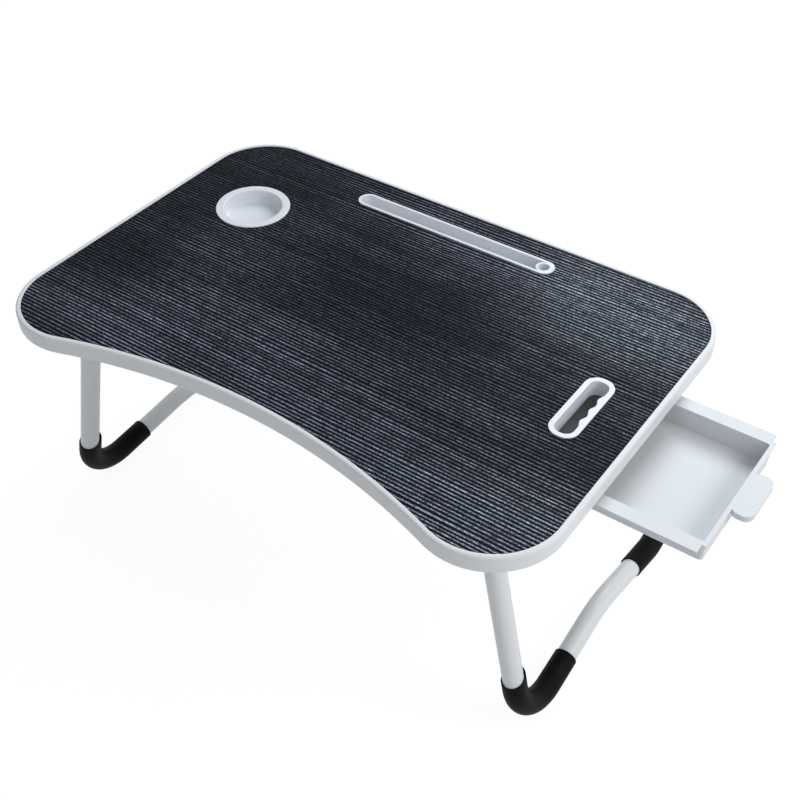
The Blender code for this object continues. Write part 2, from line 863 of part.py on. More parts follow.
def make_pins(material):
    """The four headed pins that the legs turn on."""
    half = ear_outer_y + seat_gap
    side = [(pin_radius, half), (pin_head_radius, half)]
    side += [(pin_head_radius, half + pin_head_height - pin_head_chamfer)]
    side += [(pin_head_radius - pin_head_chamfer, half + pin_head_height), (0.0, half + pin_head_height)]
    profile = [(radius, -height) for radius, height in reversed(side)] + side
    mesh = mesh_from("pivot_pin", spun_along_y(profile, pin_sides))
    for side, end, spot in bracket_places():
        pin = place(f"{side_name(side)}_{end_name(end)}_pivot_pin", mesh, material)
        pin.location = spot


def screw_mesh(grip):
    """A screw with its seat at zero: a pan head below, and a shank through the grip into the board."""
    head_top = -seat_gap
    head_low = head_top - screw_head_height
    tip = grip + seat_gap + screw_bite
    profile = [
        (0.0, head_low),
        (screw_head_radius - screw_head_chamfer, head_low),
        (screw_head_radius, head_low + screw_head_chamfer),
        (screw_head_radius, head_top),
        (screw_shank_radius, head_top),
        (screw_shank_radius, tip),
        (0.0, tip),
    ]
    return mesh_from("screw", spun(profile, screw_sides))


def make_screws(material):
    """The screws that hold the brackets and the rails, each driven up into the board."""
    mesh = screw_mesh(bracket_plate)
    for name, spots in bracket_screw_places():
        for k, spot in enumerate(spots):
            screw = place(f"{name}_screw_{k + 1}", mesh, material)
            screw.location = (*spot, bracket_underside)
    mesh = screw_mesh(rail_thickness)
    for name, spots in rail_screw_places():
        for k, spot in enumerate(spots):
            screw = place(f"{name}_screw_{k + 1}", mesh, material)
            screw.location = (*spot, bracket_top - rail_thickness)


def drawer_ring(end_inset, half_y, radius, z, front_extra=0.0):
    """One outline of the drawer: inset at both ends, and more at the front if asked."""
    centre = (drawer_middle[0] - front_extra / 2, drawer_middle[1])
    half_x = drawer_length / 2 - end_inset - front_extra / 2
    return level(rounded_rectangle(centre, half_x, half_y, radius, drawer_corner_steps), z)


def make_drawer(material):
    """The drawer: a shallow tray that hangs by a flat flange on each side, with a pull tab."""
    slider = joint_empty("drawer_slide", (drawer_front_x, drawer_centre_y, drawer_rim))
    outer, inner, flange = drawer_outer_y, drawer_inner_y, drawer_flange_y
    corner = drawer_body_corner
    inner_corner = corner - drawer_wall
    front_extra = drawer_front_wall - drawer_wall
    rings = [
        drawer_ring(drawer_end_lip + drawer_draft, outer - drawer_draft, corner, drawer_bottom),
        drawer_ring(drawer_end_lip, outer, corner, drawer_flange_bottom),
        drawer_ring(0.0, flange, drawer_flange_corner, drawer_flange_bottom),
        drawer_ring(0.0, flange, drawer_flange_corner, drawer_rim),
        drawer_ring(drawer_wall, inner, inner_corner, drawer_rim, front_extra),
        drawer_ring(
            drawer_wall + drawer_draft,
            inner - drawer_draft,
            inner_corner,
            drawer_bottom + drawer_floor,
            front_extra,
        ),
    ]
    bm = bmesh.new()
    add_skin(bm, rings)
    bmesh.ops.translate(bm, vec=(-drawer_front_x, -drawer_centre_y, -drawer_rim), verts=bm.verts)
    drawer = place("drawer_tray", mesh_from("drawer_tray", bm), material, slider)
    shape_with(drawer, "UNION", drawer_tab())
    shape_with(drawer, "UNION", drawer_catches())
    shape_with(drawer, "DIFFERENCE", tab_finger_hollow())
    shape_with(drawer, "DIFFERENCE", flange_notches())


def tab_outline(inset, root_x):
    """The pull tab's plan: two round outer corners and a square root."""
    half_y = tab_width / 2 - inset
    radius = tab_corner_radius - inset
    end_x = drawer_front_x + tab_reach - inset
    middle_y = drawer_centre_y + tab_offset_y
    points = [(root_x, middle_y + half_y), (root_x, middle_y - half_y)]
    near = (end_x - radius, middle_y - half_y + radius)
    far = (end_x - radius, middle_y + half_y - radius)
    points += arc(near, radius, -math.pi / 2, 0.0, tab_corner_steps)
    return points + arc(far, radius, 0.0, math.pi / 2, tab_corner_steps)


def drawer_tab():
    """The pull tab's block, rooted in the drawer's front wall."""
    bm = bmesh.new()
    top = drawer_rim - tab_step
    add_prism(bm, tab_outline(0.0, drawer_front_x - tab_root), top - tab_skirt, top)
    return tool_body("drawer_tab", bm)


def tab_finger_hollow():
    """The hollow under the pull tab, which leaves a skirt round its edge."""
    bm = bmesh.new()
    roof = drawer_rim - tab_step - tab_thickness
    floor = drawer_rim - tab_step - tab_skirt - cut_overrun
    add_prism(bm, tab_outline(tab_thickness, drawer_front_x + tab_step), floor, roof)
    return tool_body("tab_finger_hollow", bm)


def flange_notches():
    """The notches where the flanges stop short of the drawer's front."""
    low_x, high_x = drawer_front_x - drawer_front_wall, drawer_front_x + cut_overrun
    low_z, high_z = drawer_flange_bottom - cut_overrun, drawer_rim + cut_overrun
    bm = bmesh.new()
    for way in (-1, 1):
        reaches = (drawer_flange_y - drawer_notch_reach, drawer_flange_y + cut_overrun)
        low_y, high_y = sorted(drawer_centre_y + way * reach for reach in reaches)
        add_block(bm, (low_x, low_y, low_z), (high_x, high_y, high_z))
    return tool_body("flange_notches", bm)


def drawer_catches():
    """The two lugs on the flanges that meet the rails' teeth when the drawer is full out."""
    front = rail_front_x - catch_length - seat_gap - drawer_travel_out
    top = board_bottom - seat_gap - catch_over_gap
    reaches = (drawer_flange_y - rail_side_gap, drawer_flange_y - catch_reach)
    bm = bmesh.new()
    for way in (-1, 1):
        ys = sorted(drawer_centre_y + way * reach for reach in reaches)
        low = (front - catch_length, ys[0], drawer_rim - drawer_flange_thickness / 2)
        add_block(bm, low, (front, ys[1], top))
    return tool_body("drawer_catches", bm)


def rail_mesh():
    """The rear drawer rail, about the drawer's middle line: foot, web, lip, end wall and tooth."""
    web, lip_top = rail_web_y, rail_lip_top
    section = [
        (web - rail_lip_reach, lip_top - rail_thickness),
        (web + rail_thickness, lip_top - rail_thickness),
        (web + rail_thickness, bracket_top - rail_thickness),
        (web + rail_thickness + rail_foot_reach, bracket_top - rail_thickness),
        (web + rail_thickness + rail_foot_reach, bracket_top),
        (web, bracket_top),
        (web, lip_top),
        (web - rail_lip_reach, lip_top),
    ]
    bm = bmesh.new()
    add_cross_prism(bm, section, rail_back_x - rail_end_wall, rail_front_x)
    rail = bpy.data.objects.new("rail", mesh_from("rail", bm))
    bpy.context.scene.collection.objects.link(rail)
    shape_with(rail, "UNION", rail_fittings())
    shape_with(rail, "DIFFERENCE", rail_holes())
    return settled_mesh(rail)


def rail_fittings():
    """The wall at the rail's inner end and the tooth at its front end."""
    rooted = rail_web_y + rail_thickness / 2
    inner_y = rail_web_y - catch_reach
    sunk = rail_lip_top - rail_thickness / 2
    ceiling = bracket_top - catch_over_gap
    tooth_low = drawer_rim + catch_under_gap
    inset = catch_over_gap / 2
    bm = bmesh.new()
    add_block(
        bm,
        (rail_back_x - rail_end_wall + inset, inner_y, sunk),
        (rail_back_x, rooted, ceiling),
    )
    add_block(
        bm,
        (rail_front_x - catch_length, inner_y, tooth_low),
        (rail_front_x - inset, rooted, ceiling),
    )
    return tool_body("rail_fittings", bm)


def rail_holes():
    """The screw holes through the rail's foot."""
    bm = bmesh.new()
    low, high = bracket_top - rail_thickness - cut_overrun, bracket_top + cut_overrun
    for spot in rail_screw_row():
        add_prism(bm, screw_hole(spot), low, high)
    return tool_body("rail_holes", bm)


def make_rails(material):
    """The two rails that carry the drawer: the front one is the rear one's mirror image."""
    rear = rail_mesh()
    front = mirrored(rear, (0.0, 1.0, 0.0))
    for name, mesh in (("front_drawer_rail", front), ("rear_drawer_rail", rear)):
        rail = place(name, mesh, material)
        rail.location = (0.0, drawer_centre_y, 0.0)


def main():
    """Builds the stand with its legs open and its drawer drawn out."""
    clear_scene()
    white = (0.84, 0.85, 0.86)
    wood = finish("particle_board", (0.52, 0.40, 0.27), 0.85)
    grain = finish("dark_grain_laminate", (0.055, 0.060, 0.075), 0.45)
    band = finish("white_edge_band", white, 0.38)
    moulded = finish("white_moulding", white, 0.35)
    painted = finish("white_paint", (0.80, 0.81, 0.82), 0.30)
    rubber = finish("black_rubber", (0.012, 0.012, 0.014), 0.60)
    steel = finish("zinc_steel", (0.62, 0.63, 0.65), 0.35, 1.0)
    plastic = finish("white_bracket_plastic", (0.78, 0.79, 0.80), 0.45)
    tray = finish("white_drawer_plastic", (0.82, 0.83, 0.84), 0.40)

    openings = top_openings()
    make_board(wood, openings)
    make_laminate(grain, openings)
    make_edge_band(band)
    make_cup_holder(moulded)
    make_tablet_slot(moulded)
    make_handle_insert(moulded)
    for side in (-1, 1):
        make_leg(side, side_name(side) + "_leg", painted, rubber)
    make_brackets(plastic)
    make_pins(steel)
    make_screws(steel)
    make_drawer(tray)
    make_rails(plastic)


main()
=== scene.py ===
# %% [markdown]
# # A folding bed table
#
# The table is a laminated board in a white plastic band. It stands on two bent tubes that fold
# under it, three moulded inserts are let into its top, and a drawer slides out of its right end.
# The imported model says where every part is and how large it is. This script gives each part its
# fine shape and its finish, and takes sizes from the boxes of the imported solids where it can.

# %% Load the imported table
import json
import math

import bmesh
import bpy
from bmesh.types import BMEdge, BMFace, BMVert
from mathutils import Matrix, Vector


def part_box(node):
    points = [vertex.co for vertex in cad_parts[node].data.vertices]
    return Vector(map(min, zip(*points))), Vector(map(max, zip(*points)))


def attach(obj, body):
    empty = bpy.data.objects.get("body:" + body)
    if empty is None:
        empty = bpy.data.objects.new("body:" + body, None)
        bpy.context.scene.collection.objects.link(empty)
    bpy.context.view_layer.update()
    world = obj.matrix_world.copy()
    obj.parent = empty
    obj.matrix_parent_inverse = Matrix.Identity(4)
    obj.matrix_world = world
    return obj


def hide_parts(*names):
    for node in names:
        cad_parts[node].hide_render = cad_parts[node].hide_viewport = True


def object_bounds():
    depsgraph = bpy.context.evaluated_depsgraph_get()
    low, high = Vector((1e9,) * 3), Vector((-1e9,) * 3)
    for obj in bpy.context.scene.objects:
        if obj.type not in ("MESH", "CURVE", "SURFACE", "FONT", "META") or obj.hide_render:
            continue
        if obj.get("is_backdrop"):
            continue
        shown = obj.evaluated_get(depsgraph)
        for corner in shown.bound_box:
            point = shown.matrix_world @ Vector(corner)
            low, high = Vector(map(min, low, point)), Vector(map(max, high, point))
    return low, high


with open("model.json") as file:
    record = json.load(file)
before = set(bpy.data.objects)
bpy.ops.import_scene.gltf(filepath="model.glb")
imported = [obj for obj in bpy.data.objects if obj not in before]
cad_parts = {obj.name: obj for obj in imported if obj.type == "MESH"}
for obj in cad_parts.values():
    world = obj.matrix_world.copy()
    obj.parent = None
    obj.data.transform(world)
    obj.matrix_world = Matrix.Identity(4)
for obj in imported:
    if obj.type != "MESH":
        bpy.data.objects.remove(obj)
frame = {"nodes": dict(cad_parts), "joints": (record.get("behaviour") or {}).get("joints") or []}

packed_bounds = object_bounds()
packed_size = packed_bounds[1] - packed_bounds[0]
print("packed table, mm:", [round(length * 1000, 1) for length in packed_size])

# %% [markdown]
# ## The camera
#
# The top is a known rounded rectangle with a round cup ring on it, so the camera was found by
# matching the edges of both. It stands in front of the table and to its right, and looks down on
# it by about 42 degrees. Turning about Z aims it, turning about its own X tips it, and a last
# small turn about its own line of sight is the roll of a camera held by hand.

# %% Camera
camera_data = bpy.data.cameras.new("camera")
camera_data.sensor_width = 36.0
camera_data.lens = 54.39
camera = bpy.data.objects.new("camera", camera_data)
aim = Matrix.Rotation(math.radians(35.62), 4, "Z")
tip = Matrix.Rotation(math.radians(90.0 - 42.08), 4, "X")
roll = Matrix.Rotation(math.radians(-0.57), 4, "Z")
camera.matrix_world = Matrix.Translation((0.50925, -0.7235, 0.9911)) @ aim @ tip @ roll
bpy.context.scene.collection.objects.link(camera)
bpy.context.scene.camera = camera
bpy.context.scene.view_settings.view_transform = "Standard"
print("camera at", [round(part, 3) for part in camera.matrix_world.translation])

# %% [markdown]
# ## Shader sums as Python sums
#
# A finish is a network of nodes, and its arithmetic is easier to read as a formula than as a row
# of Math nodes. The class below wraps the output of a node, so that writing a sum adds the Math
# node that works it out. The reflected forms let a plain number stand on the left, as in
# 1 - mask. Every other node comes from one method, which sets the node up before its sockets,
# because some sockets only exist once the node knows its mode.

# %% A socket that takes part in arithmetic
class Socket:
    """An output of a node; each arithmetic sign on it adds a Math node."""

    def __init__(self, tree, output):
        self.tree = tree
        self.output = output

    def math(self, operation, *parts):
        return self.tree.add("ShaderNodeMath", {"operation": operation}, dict(enumerate(parts)))

    def __add__(self, other):
        return self.math("ADD", self, other)

    def __radd__(self, other):
        return self.math("ADD", other, self)

    def __sub__(self, other):
        return self.math("SUBTRACT", self, other)

    def __rsub__(self, other):
        return self.math("SUBTRACT", other, self)

    def __mul__(self, other):
        return self.math("MULTIPLY", self, other)

    def __rmul__(self, other):
        return self.math("MULTIPLY", other, self)


# %% A tree that grows its nodes
class Tree:
    """A node tree of a material or a world."""

    def __init__(self, owner):
        owner.use_nodes = True
        self.nodes = owner.node_tree.nodes
        self.links = owner.node_tree.links
        self.nodes.clear()

    def add(self, kind, settings=None, sockets=None, output=0):
        """Makes a node, sets it up, fills its sockets and returns one of its outputs."""
        node = self.nodes.new(kind)
        for name, value in (settings or {}).items():
            if name == "stops":
                self.set_stops(node.color_ramp.elements, value)
            else:
                setattr(node, name, value)
        named = {socket.identifier: socket for socket in node.inputs}
        for key, value in (sockets or {}).items():
            socket = named[key] if key in named else node.inputs[key]
            if isinstance(value, Socket):
                self.links.new(value.output, socket)
            else:
                socket.default_value = value
        if not node.outputs:
            return None
        live = [socket for socket in node.outputs if socket.enabled]
        return Socket(self, node.outputs[output] if isinstance(output, str) else live[output])

    def set_stops(self, elements, stops):
        """Gives a colour ramp its stops, each a place from 0 to 1 and a grey level."""
        while len(elements) < len(stops):
            elements.new(0.5)
        for element, (place, level) in zip(elements, stops):
            element.position = place
            element.color = (level, level, level, 1.0)

    def noise(self, stretch, detail=2.0, roughness=0.5, offset=(0.0, 0.0, 0.0)):
        """Noise from 0 to 1 over the object, with so many waves a metre along each axis."""
        place = self.add("ShaderNodeTexCoord", output="Object")
        mapping = {"Vector": place, "Scale": stretch, "Location": offset}
        spot = self.add("ShaderNodeMapping", {}, mapping)
        sockets = {"Vector": spot, "Scale": 1.0, "Detail": detail, "Roughness": roughness}
        return self.add("ShaderNodeTexNoise", {}, sockets)

    def ramp(self, value, *stops):
        """A value sent through a ramp of grey levels."""
        return self.add("ShaderNodeValToRGB", {"stops": stops}, {"Fac": value})

    def blend(self, factor, first, second):
        """A colour between two colours."""
        sockets = {"Factor_Float": factor, "A_Color": first, "B_Color": second}
        return self.add("ShaderNodeMix", {"data_type": "RGBA"}, sockets)

    def bump(self, height, distance, strength=1.0):
        """Small relief, with its full height in metres."""
        sockets = {"Height": height, "Distance": distance, "Strength": strength}
        return self.add("ShaderNodeBump", {}, sockets)


# %% Finishes
def new_finish(name):
    """A new material and its empty tree."""
    material = bpy.data.materials.new(name)
    return material, Tree(material)


def surface(tree, sockets):
    """Ends a tree in one Principled shader."""
    shader = tree.add("ShaderNodeBsdfPrincipled", {}, sockets)
    tree.add("ShaderNodeOutputMaterial", {}, {"Surface": shader})


def rgb(red, green, blue):
    """A colour socket's value."""
    return (red, green, blue, 1.0)


# %% [markdown]
# ## The floor and the light
#
# The floor is plain and nearly white. Light Path's rays let the camera see it as pure white where
# nothing shades it, while the table's shadow still falls on it. The light is soft. Most of it
# comes from a large panel high on the right. A second panel behind the table gives the laminate
# its sheen, a weak third one in front lights the right sides of the legs, and a dim sky all round
# fills the shadows. The second panel and the sky are faintly blue.

# %% Floor
def seen_directly(tree):
    """One for rays from the camera, a mirror-like surface or glass, and nought for light."""
    path = {}
    for name in ("Is Camera Ray", "Is Glossy Ray", "Is Transmission Ray"):
        path[name] = tree.add("ShaderNodeLightPath", output=name)
    total = path["Is Camera Ray"] + path["Is Glossy Ray"] + path["Is Transmission Ray"]
    return total.math("MINIMUM", total, 1.0)


floor_white, tree = new_finish("floor_white")
matte = tree.add("ShaderNodeBsdfDiffuse", {}, {"Color": rgb(0.72, 0.72, 0.72)})
glow = tree.add("ShaderNodeEmission", {}, {"Color": rgb(1.0, 1.0, 1.0), "Strength": 1.16})
backed = tree.add("ShaderNodeMixShader", {}, {"Fac": seen_directly(tree) * 0.80, 1: matte, 2: glow})
tree.add("ShaderNodeOutputMaterial", {}, {"Surface": backed})

bm = bmesh.new()
bmesh.ops.create_circle(bm, cap_ends=True, radius=6.0, segments=64)
floor_mesh = bpy.data.meshes.new("floor")
bm.to_mesh(floor_mesh)
bm.free()
floor_mesh.materials.append(floor_white)
floor = bpy.data.objects.new("floor", floor_mesh)
bpy.context.scene.collection.objects.link(floor)
floor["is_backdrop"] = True
print("floor of", round(floor.dimensions.x, 1), "m across")

# %% World and lamps
sky = bpy.data.worlds.new("sky")
tree = Tree(sky)
seen = seen_directly(tree)
tint = tree.blend(seen, rgb(0.92, 0.97, 1.0), rgb(1.0, 1.0, 1.0))
strength = 0.39 + 0.61 * seen
backdrop = tree.add("ShaderNodeBackground", {}, {"Color": tint, "Strength": strength})
tree.add("ShaderNodeOutputWorld", {}, {"Surface": backdrop})
bpy.context.scene.world = sky


def hang_panel(name, place, target, size, power, colour=(1.0, 1.0, 1.0)):
    """A square soft light that looks at a target."""
    data = bpy.data.lights.new(name, "AREA")
    data.size = size
    data.energy = power
    data.color = colour
    panel = bpy.data.objects.new(name, data)
    sight = Vector(target) - Vector(place)
    facing = sight.to_track_quat("-Z", "Y").to_matrix().to_4x4()
    panel.matrix_world = Matrix.Translation(place) @ facing
    bpy.context.scene.collection.objects.link(panel)
    print(name, "at", place, "with", power, "W")


table_middle = (-0.05, 0.0, 0.2)
hang_panel("key_panel", (1.6, 0.25, 1.35), table_middle, 0.8, 13.0)
hang_panel("sheen_panel", (-0.15, 1.32, 1.56), table_middle, 0.9, 17.0, (0.88, 0.94, 1.0))
hang_panel("fill_panel", (1.4, -1.3, 0.8), table_middle, 1.0, 4.0)

# %% [markdown]
# ## Shaping tools
#
# A long part of one section is swept: its outline is drawn once, then run straight or turned
# about a centre, stretch by stretch, as a tube is bent on a bench. A moulded part is a few plain
# blocks joined and cut. The Boolean that does that works on objects, so the helper makes two
# for a moment and takes the result back into a bmesh. Blender may list a shape's parts in
# another order on each run, so they are sorted along a slanting line before the shape is used,
# and every run gives the same meshes. Edges are broken at the end, because nothing that leaves a
# mould is perfectly sharp, and a small round catches the light.

# %% Outlines and sweeps
weld_distance = 0.00001
small_corner, round_steps = 0.006, 4


def bevelled(bm, parts, width, steps, kind, clamp=False):
    """Rounds edges or corner points off by a width."""
    bmesh.ops.bevel(
        bm, geom=parts, offset=width, segments=steps, profile=0.5,
        affect=kind, clamp_overlap=clamp, material=-1,
    )


def outline(bm, corners):
    """A flat face through corner points, each rounded by its own radius."""
    points = [bm.verts.new(place) for place, _ in corners]
    bm.faces.new(points)
    for point, (_, radius) in zip(points, corners):
        if radius:
            steps = round_steps if radius < small_corner else 3 * round_steps
            bevelled(bm, [point], radius, steps, "VERTICES")
    bm.faces.ensure_lookup_table()
    return bm.faces[-1]


def each_once(parts):
    """Parts in their order, without repeats; a set would shuffle them from run to run."""
    return list(dict.fromkeys(parts))


def only(geom, kind):
    """The points, edges or faces in new geometry."""
    return [part for part in geom if isinstance(part, kind)]


def loop_of(geom):
    """The edges in new geometry that run between two of its own points."""
    ends = set(only(geom, BMVert))
    return [edge for edge in only(geom, BMEdge) if set(edge.verts) <= ends]


def run(bm, edges, step):
    """Extrudes a loop of edges straight on and returns its new end."""
    geom = bmesh.ops.extrude_edge_only(bm, edges=edges)["geom"]
    bmesh.ops.translate(bm, vec=step, verts=only(geom, BMVert))
    return loop_of(geom)


def turn(bm, edges, centre, axis, angle, steps):
    """Sweeps a loop of edges round a centre and returns its new end."""
    points = each_once(point for edge in edges for point in edge.verts)
    done = bmesh.ops.spin(
        bm, geom=points + edges, cent=centre, axis=axis, angle=angle, steps=steps, use_merge=False
    )
    return loop_of(done["geom_last"])


def pushed(bm, face, step):
    """Extrudes a face by a step and returns its new end."""
    whole = [face, *face.edges, *face.verts]
    geom = bmesh.ops.extrude_face_region(bm, geom=whole)["geom"]
    bmesh.ops.translate(bm, vec=step, verts=only(geom, BMVert))
    return only(geom, BMFace)[0]


def raised(bm, face, height):
    """Extrudes a face up or down and returns its new end."""
    return pushed(bm, face, (0.0, 0.0, height))


# %% Turned shapes
up = (0.0, 0.0, 1.0)


def turned(half_section, steps):
    """A solid of revolution about Z, from its radii, heights and roundings."""
    bm = bmesh.new()
    face = outline(bm, [((radius, 0.0, z), rounding) for radius, z, rounding in half_section])
    on_axis = [e for e in face.edges if max(abs(p.co.x) for p in e.verts) < weld_distance]
    bmesh.ops.delete(bm, geom=[face], context="FACES_ONLY")
    bmesh.ops.delete(bm, geom=on_axis, context="EDGES")
    whole = bm.verts[:] + bm.edges[:]
    centre = (0.0, 0.0, 0.0)
    bmesh.ops.spin(
        bm, geom=whole, cent=centre, axis=up, angle=math.tau, steps=steps, use_merge=True
    )
    return settled(bm)


# %% Blocks, cuts and broken edges
flat_angle = 0.002
slant = Vector((0.9173, 0.3571, 0.1741))


def block(low, high, radius=0.0, draft=0.0):
    """A block between two corners, its upright edges rounded, its foot drawn in by a draft."""
    bm = bmesh.new()
    corners = [(low[0], low[1]), (high[0], low[1]), (high[0], high[1]), (low[0], high[1])]
    top = outline(bm, [((x, y, high[2]), radius) for x, y in corners])
    foot = raised(bm, top, low[2] - high[2])
    if draft:
        middle = foot.calc_center_bounds()
        half = ((high[0] - low[0]) / 2, (high[1] - low[1]) / 2)
        shrink = (1 - draft / half[0], 1 - draft / half[1], 1.0)
        space = Matrix.Translation(-middle)
        bmesh.ops.scale(bm, vec=shrink, space=space, verts=foot.verts)
    return bm


def settled(bm):
    """Merges what coincides, turns every face outwards and sorts the parts by their place."""
    bmesh.ops.remove_doubles(bm, verts=bm.verts, dist=weld_distance)
    bmesh.ops.recalc_face_normals(bm, faces=bm.faces)
    bm.verts.sort(key=lambda point: point.co.dot(slant))
    bm.edges.sort(key=lambda edge: (edge.verts[0].co + edge.verts[1].co).dot(slant))
    bm.faces.sort(key=lambda face: face.calc_center_median().dot(slant))
    return bm


def moved(bm, step):
    """Moves a whole shape by a step."""
    bmesh.ops.translate(bm, vec=step, verts=bm.verts)
    return bm


def mirrored(bm, axis, place):
    """Adds a shape's mirror image across an axis and welds the two."""
    every = bm.verts[:] + bm.edges[:] + bm.faces[:]
    bmesh.ops.mirror(bm, geom=every, matrix=place, merge_dist=weld_distance, axis=axis)
    return settled(bm)


def carved(body, operation, tool):
    """Joins a tool to a body or cuts it away, and returns the new shape."""
    things = []
    for bm in (body, tool):
        mesh = bpy.data.meshes.new("shaping")
        settled(bm).to_mesh(mesh)
        bm.free()
        thing = bpy.data.objects.new("shaping", mesh)
        bpy.context.scene.collection.objects.link(thing)
        things.append(thing)
    change = things[0].modifiers.new("change", "BOOLEAN")
    change.operation = operation
    change.solver = "EXACT"
    change.object = things[1]
    shape = bmesh.new()
    shape.from_object(things[0], bpy.context.evaluated_depsgraph_get())
    for thing in things:
        bpy.data.objects.remove(thing)
    bmesh.ops.remove_doubles(shape, verts=shape.verts, dist=weld_distance)
    bmesh.ops.dissolve_limit(shape, angle_limit=flat_angle, verts=shape.verts, edges=shape.edges)
    return shape


def joined(body, tool):
    """A body with a tool's shape added."""
    return carved(body, "UNION", tool)


def cut_away(body, tool):
    """A body with a tool's shape taken out."""
    return carved(body, "DIFFERENCE", tool)


def soften(bm, width, steps=2, angle=50.0, wanted=None):
    """Breaks the edges that are sharper than an angle, or only those with both ends wanted."""
    bmesh.ops.recalc_face_normals(bm, faces=bm.faces)
    sharp = [e for e in bm.edges if e.is_manifold and e.calc_face_angle(0.0) > math.radians(angle)]
    if wanted:
        sharp = [edge for edge in sharp if all(wanted(point.co) for point in edge.verts)]
    bevelled(bm, sharp, width, steps, "EDGES", clamp=True)
    return bm


# %% A finished piece
crease_angle = math.radians(35.0)


def new_piece(name, bm, body, material, slot, *stands_for):
    """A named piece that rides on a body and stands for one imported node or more."""
    mesh = bpy.data.meshes.new(name)
    bm.to_mesh(mesh)
    bm.free()
    mesh.materials.append(material)
    mesh.shade_smooth()
    mesh.set_sharp_from_angle(angle=crease_angle)
    piece = bpy.data.objects.new(name, mesh)
    bpy.context.scene.collection.objects.link(piece)
    shading = piece.modifiers.new("even_shading", "WEIGHTED_NORMAL")
    shading.keep_sharp = True
    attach(piece, body)
    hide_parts(*stands_for)
    size = [round(length * 1000, 1) for length in piece.dimensions]
    print(name, "mm:", size, "faces:", len(mesh.polygons))


# %% [markdown]
# ## The laminate
#
# The top is a sheet of printed laminate with a straight, dark, bluish grain that runs the long
# way of the table. The print is thin pale lines, about four millimetres apart, over a nearly
# black ground. The lines keep their pitch but drift a little, so a sine of the distance across
# the grain draws them and slow noise bends its phase. Other noises make some lines paler than
# others, break them into dashes and lay a sandy speckle over everything. A very broad noise
# darkens whole regions of the sheet and thins their coat: this is painted shade, placed on the
# parts of the top that lie in shadow. The pale ink is also the glossier one, so it takes a thin
# coat, and the lines show up where the light grazes the sheet.

# %% Laminate
line_pitch = 0.0040
laminate_grain, tree = new_finish("laminate_grain")
place = tree.add("ShaderNodeTexCoord", output="Object")
distance = tree.add("ShaderNodeSeparateXYZ", {}, {"Vector": place}, output="Y")
drift = tree.noise((1.3, 36.0, 1.0), detail=3.0, roughness=0.5)
phase = distance * (math.tau / line_pitch) + 13.0 * drift
wave = phase.math("SINE", phase)
lines = tree.ramp(0.5 + 0.5 * wave, (0.55, 0.0), (0.94, 1.0))
rank = tree.noise((2.5, 140.0, 1.0), detail=1.0, offset=(3.0, 7.0, 0.0))
dashes = tree.noise((95.0, 420.0, 1.0), detail=2.0, roughness=0.6, offset=(5.0, 2.0, 0.0))
speckle = tree.noise((560.0, 1000.0, 1.0), detail=2.0, roughness=0.8)
# This broad noise is placed to darken the parts of the top that lie in shadow: painted shade.
clouds = tree.noise((2.2, 4.5, 1.0), detail=3.0, offset=(9.1, 6.2, 0.0))
sand = tree.ramp(speckle, (0.40, 0.10), (0.62, 1.0))
ranked = lines * tree.ramp(rank, (0.30, 0.50), (0.65, 1.0))
pale = ranked * tree.ramp(dashes, (0.36, 0.50), (0.60, 1.0))
mixed = (0.02 + 0.98 * pale) * sand * tree.ramp(clouds, (0.36, 0.18), (0.64, 1.0))
# The base colour is the print, darkened in broad regions by the painted shade.
printed_colour_and_painted_shade = tree.blend(mixed, rgb(0.0010, 0.0014, 0.0030), rgb(0.640, 0.720, 0.935))
surface(tree, {
    "Base Color": printed_colour_and_painted_shade,
    "Roughness": 0.40 - 0.10 * mixed,
    "Normal": tree.bump(pale, 0.00004, 0.6),
    "Specular IOR Level": 0.02,
    "Coat Weight": 0.70 * mixed,
    "Coat Roughness": 0.18,
})
frame["nodes"]["top_laminate"].material_slots[0].material = laminate_grain
laminate_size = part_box("top_laminate")[1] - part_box("top_laminate")[0]
print("laminate, mm:", [round(length * 1000, 1) for length in laminate_size])

# %% [markdown]
# ## The board
#
# Under the laminate is particle board: wood chips pressed with glue. It shows only from below.
# Voronoi cells stretched a little give the chips, each with its own shade, and noise gives the
# fine dust between them.

# %% Particle board
particle_board, tree = new_finish("particle_board")
place = tree.add("ShaderNodeTexCoord", output="Object")
spot = tree.add("ShaderNodeMapping", {}, {"Vector": place, "Scale": (230.0, 420.0, 420.0)})
chips = tree.add("ShaderNodeTexVoronoi", {}, {"Vector": spot, "Scale": 1.0}, output="Color")
shade = tree.add("ShaderNodeRGBToBW", {}, {"Color": chips})
dust = tree.noise((1900.0, 1900.0, 1900.0), detail=2.0)
chip_tone = 0.72 * shade + 0.28 * dust
wood = tree.blend(chip_tone, rgb(0.20, 0.155, 0.11), rgb(0.42, 0.35, 0.27))
surface(tree, {
    "Base Color": wood,
    "Roughness": 0.78 + 0.14 * dust,
    "Normal": tree.bump(chip_tone, 0.0001, 0.6),
})
frame["nodes"]["board"].material_slots[0].material = particle_board
print("board finish made")

# %% [markdown]
# ## White plastics and paint
#
# Five of the finishes are white, but not the same white. The band is a satin extruded strip, the
# inserts are glossy mouldings, the drawer and the brackets have the fine even grain of a textured
# mould, and the tubes are powder coated, which leaves a slight orange peel. The drawer's white is
# set darker than the rest, as painted shade for the shadow inside the tray. One function makes
# them all, from the colour, the gloss, and the grain's size and depth.

# %% White finishes
def moulded_finish(name, colour, roughness, grain_size, grain_depth, shade=0.03):
    """A pale opaque finish with a fine grain and a faint unevenness in colour and gloss."""
    material, tree = new_finish(name)
    waves = 1.0 / grain_size
    grain = tree.noise((waves, waves, waves), detail=1.0)
    patches = tree.noise((16.0, 16.0, 16.0), detail=3.0)
    darker = rgb(*[part * (1.0 - 2.0 * shade) for part in colour])
    tone = tree.blend(0.65 * patches + 0.35 * grain, darker, rgb(*colour))
    sockets = {
        "Base Color": tone,
        "Roughness": (roughness - 0.05) + 0.10 * patches,
        "Normal": tree.bump(grain, grain_depth, 0.6),
    }
    surface(tree, sockets)
    return material


